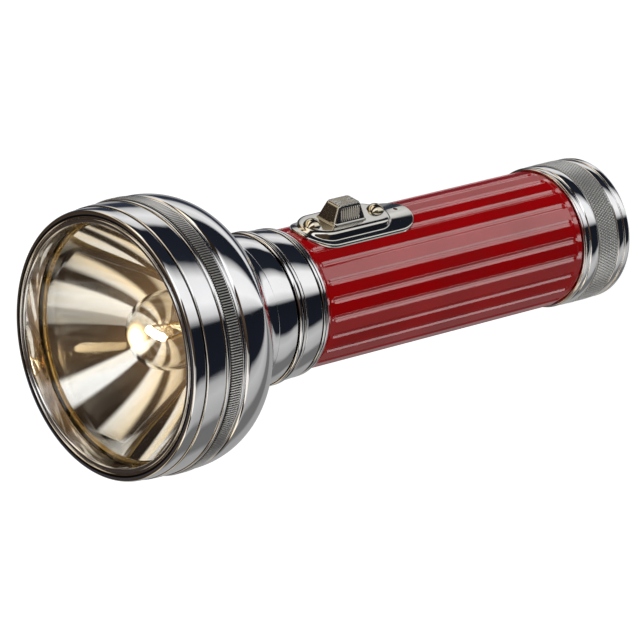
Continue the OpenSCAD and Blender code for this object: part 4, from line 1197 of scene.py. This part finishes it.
def studio_world(view):
    """Studio round the torch. Seen by the camera it is white, matte surfaces get an even pale light, and
    polished ones see light and dark panels set round the axis, given as angle from the camera, level and
    hue."""
    white, night = (1, 1, 1), (0.75, 0.92, 1.4)
    cream, gold, brown = (1, 0.95, 0.87), (1.2, 1.0, 0.7), (1.35, 0.9, 0.56)
    low_panels = [
        (-128, 0.38, white), (-118, 0.18, white), (-92, 0.18, white), (-84, 0.46, white), (-62, 0.60, white),
        (-51, 0.48, white), (-44, 0.015, night), (-4, 0.012, night), (3, 0.75, white), (14, 1.1, white),
        (36, 1.05, white), (45, 0.5, white), (52, 0.02, night), (92, 0.015, night), (98, 0.75, white),
        (112, 0.95, white), (128, 0.6, white), (134, 0.04, night), (150, 0.05, night), (156, 0.36, white),
    ]
    high_panels = [
        (-180, 0.05, night), (-161, 0.04, brown), (-141, 0.04, brown), (-134, 0.7, gold), (-124, 0.6, gold),
        (-118, 0.03, brown), (-103, 0.04, brown), (-98, 1.25, gold), (-88, 1.2, cream), (-83, 0.03, brown),
        (-72, 0.03, brown), (-69, 1.35, cream), (-48, 1.1, cream), (-46, 0.55, cream), (-33, 0.48, cream),
        (-31, 0.035, brown), (-4, 0.07, brown), (18, 0.035, brown), (22, 1.5, white), (44, 1.3, white),
        (48, 0.02, brown), (73, 0.02, brown), (78, 1.4, cream), (94, 1.2, gold), (99, 0.03, brown),
        (106, 0.03, brown), (110, 1.0, gold), (122, 0.7, gold), (127, 0.03, brown), (162, 0.04, brown),
    ]
    world = bpy.data.worlds.new("studio")
    bpy.context.scene.world = world
    world.use_nodes = True
    tree = world.node_tree
    tree.nodes.clear()
    way = parts_of(tree, tree.nodes.new("ShaderNodeTexCoord").outputs["Generated"])
    angle = math_node(tree, "ARCTAN2", way["Y"], way["X"])
    from_camera = math_node(tree, "SUBTRACT", angle, view.azimuth)
    place = math_node(tree, "FRACT", math_node(tree, "ADD", math_node(tree, "DIVIDE", from_camera, TURN), 1.5))

    def panels(levels):
        """Ramp round the axis through the panel edges."""
        ramp = add_node(tree, "ShaderNodeValToRGB", {0: place})
        stops = ramp.color_ramp.elements
        while len(stops) < len(levels):
            stops.new(0.5)
        for stop, (degrees, level, hue) in zip(stops, levels):
            stop.position = degrees / 360 + 0.5
            stop.color = rgba(hue, level)
        return ramp.outputs[0]

    above = map_range(tree, way["Z"], -0.05, 0.05)
    polished = mix_colours(tree, above, panels(low_panels), panels(high_panels))
    light = tree.nodes.new("ShaderNodeLightPath")
    clear = math_node(tree, "MAXIMUM", light.outputs["Is Glossy Ray"], light.outputs["Is Transmission Ray"])
    plain = mix_colours(tree, clear, (0.52, 0.52, 0.53, 1.0), polished)
    colour = mix_colours(tree, light.outputs["Is Camera Ray"], plain, WHITE)
    background = add_node(tree, "ShaderNodeBackground", {"Color": colour})
    feed(tree.nodes.new("ShaderNodeOutputWorld"), Surface=background.outputs[0])


def pale_floor(colour):
    """Wide round floor. The camera sees it white with the torch's shadow on it, and polished pieces see the
    studio's panels in its place."""
    rows, columns, reach, drop = 9, 128, 4000, 0.02
    grid = polar(np.linspace(0, reach, rows)[:, None], even_angles(columns), -drop)
    material = bpy.data.materials.new("pale_floor")
    material.use_nodes = True
    tree = material.node_tree
    tree.nodes.clear()
    grain = noise(tree, object_coords(tree), 30.0, 3.0)
    tone = mix_colours(tree, grain, rgba(colour), rgba(colour, 0.98))
    matte = add_node(tree, "ShaderNodeBsdfDiffuse", {"Color": tone})
    shade = add_node(tree, "ShaderNodeBsdfDiffuse", {"Color": (0.3, 0.3, 0.3, 1.0)})
    white = add_node(tree, "ShaderNodeEmission", {"Color": WHITE, "Strength": 0.9})
    shown = add_node(tree, "ShaderNodeAddShader", {0: shade.outputs[0], 1: white.outputs[0]})
    light = tree.nodes.new("ShaderNodeLightPath")
    seen = math_node(tree, "MAXIMUM", light.outputs["Is Camera Ray"], light.outputs["Is Transmission Ray"])
    seen = math_node(tree, "MAXIMUM", seen, light.outputs["Is Glossy Ray"])
    mix = add_node(tree, "ShaderNodeMixShader", {0: seen, 1: matte.outputs[0], 2: shown.outputs[0]})
    feed(tree.nodes.new("ShaderNodeOutputMaterial"), Surface=mix.outputs[0])
    mesh = mesh_of("floor", [grid[:, ::-1]], wrap_rows=False)
    mesh.materials.append(material)
    floor = add_object("floor", mesh)
    floor.visible_glossy = False


def area_lamp(name, way, distance, width, height, power, aim):
    """Oblong lamp at a distance from the aim, along a direction, facing the aim."""
    data = bpy.data.lights.new(name, "AREA")
    data.shape = "RECTANGLE"
    data.size, data.size_y = width, height
    data.energy = power
    lamp = add_object(name, data)
    lamp.location = aim + way.normalized() * distance
    lamp.rotation_mode = "QUATERNION"
    lamp.rotation_quaternion = way.to_track_quat("Z", "Y")
    return lamp


def gloss_strips(view, aim, piece):
    """Upright strip lamps that only the gloss of one piece sees. A face along the axis mirrors to the camera
    what lies as far below the level as the camera is above it, so they hang there. Each is given as angle round
    from the camera, spread in degrees and level."""
    strips = [
        (-48, 10, 7.0), (-18, 10, 8.0), (12, 10, 7.5), (25, 6, 4.0), (42, 10, 6.5), (72, 10, 4.5),
        (102, 10, 3.0), (132, 10, 2.5),
    ]
    distance, height = 1.0, 0.5
    level_part = math.cos(view.elevation)
    shown = bpy.data.collections.new("gloss_strips")
    shown.objects.link(piece)
    for number, (degrees, spread, level) in enumerate(strips):
        turn = view.azimuth + math.radians(degrees)
        way = Vector((level_part * math.cos(turn), level_part * math.sin(turn), -math.sin(view.elevation)))
        width = math.radians(spread) * level_part
        power = level * math.pi * width * height
        strip = area_lamp(f"gloss_strip_{number}", way, distance, width, height, power, aim)
        strip.visible_camera = strip.visible_diffuse = strip.visible_transmission = False
        strip.light_linking.receiver_collection = shown
        strip.light_linking.blocker_collection = shown


class TORCH_OT_stage(bpy.types.Operator):
    """Set the camera, the studio, the floor and the lamps"""

    bl_idname = "torch.stage"
    bl_label = "Stage"

    def execute(self, context):
        scene = context.scene
        view = scene.torch_view
        right, up, back = camera_basis(view.azimuth, view.elevation, view.roll)
        data = bpy.data.cameras.new("camera")
        data.lens = view.lens
        data.sensor_width = 36.0
        data.clip_end = 20.0
        camera = add_object("camera", data)
        turn = Matrix((right, up, back)).transposed().to_4x4()
        camera.matrix_world = Matrix.Translation(Vector(view.target) + back * view.distance) @ turn
        scene.camera = camera
        studio_world(view)
        pale_floor(scene.torch_colours.floor)
        aim = Vector((0, 0, (CAP_Z0 + BEZEL_Z1) / 2 * MM))
        key = area_lamp("key_lamp", up * 1.0 + back * 0.75, 1.1, 0.7, 0.7, view.key_power, aim)
        fill = area_lamp("fill_lamp", back * 1.0 - right * 0.6 - up * 0.1, 1.2, 0.8, 0.8, view.fill_power, aim)
        for lamp in (key, fill):
            lamp.visible_glossy = lamp.visible_transmission = False
        gloss_strips(view, aim, bpy.data.objects["barrel"])
        scene.view_settings.view_transform = "Standard"
        return {"FINISHED"}


class TORCH_PT_panel(bpy.types.Panel):
    """Lists the torch's pieces in the sidebar"""

    bl_idname = "TORCH_PT_panel"
    bl_label = "Torch"
    bl_space_type = "VIEW_3D"
    bl_region_type = "UI"
    bl_category = "Torch"

    def draw(self, context):
        for group in ("torch_sizes", "torch_colours", "torch_view"):
            settings = getattr(context.scene, group)
            for name in settings.__annotations__:
                self.layout.prop(settings, name)
        for operator in OPERATORS:
            self.layout.operator(operator.bl_idname)


OPERATORS = (
    TORCH_OT_materials, TORCH_OT_bezel, TORCH_OT_bell, TORCH_OT_barrel, TORCH_OT_tail, TORCH_OT_threads,
    TORCH_OT_optics, TORCH_OT_bulb, TORCH_OT_switch, TORCH_OT_inner, TORCH_OT_stage,
)
GROUPS = {"torch_sizes": TorchSizes, "torch_colours": TorchColours, "torch_view": TorchView}


def register():
    """Registers the classes and hangs the settings on the scene."""
    for item in (*GROUPS.values(), *OPERATORS, TORCH_PT_panel):
        bpy.utils.register_class(item)
    for name, group in GROUPS.items():
        setattr(bpy.types.Scene, name, bpy.props.PointerProperty(type=group))


def unregister():
    """Takes the settings off the scene and removes the classes."""
    for name in GROUPS:
        delattr(bpy.types.Scene, name)
    for item in (TORCH_PT_panel, *reversed(OPERATORS), *GROUPS.values()):
        bpy.utils.unregister_class(item)


def main():
    """Makes every piece in order."""
    register()
    for operator in OPERATORS:
        group, name = operator.bl_idname.split(".")
        getattr(getattr(bpy.ops, group), name)()


if __name__ == "__main__":
    main()
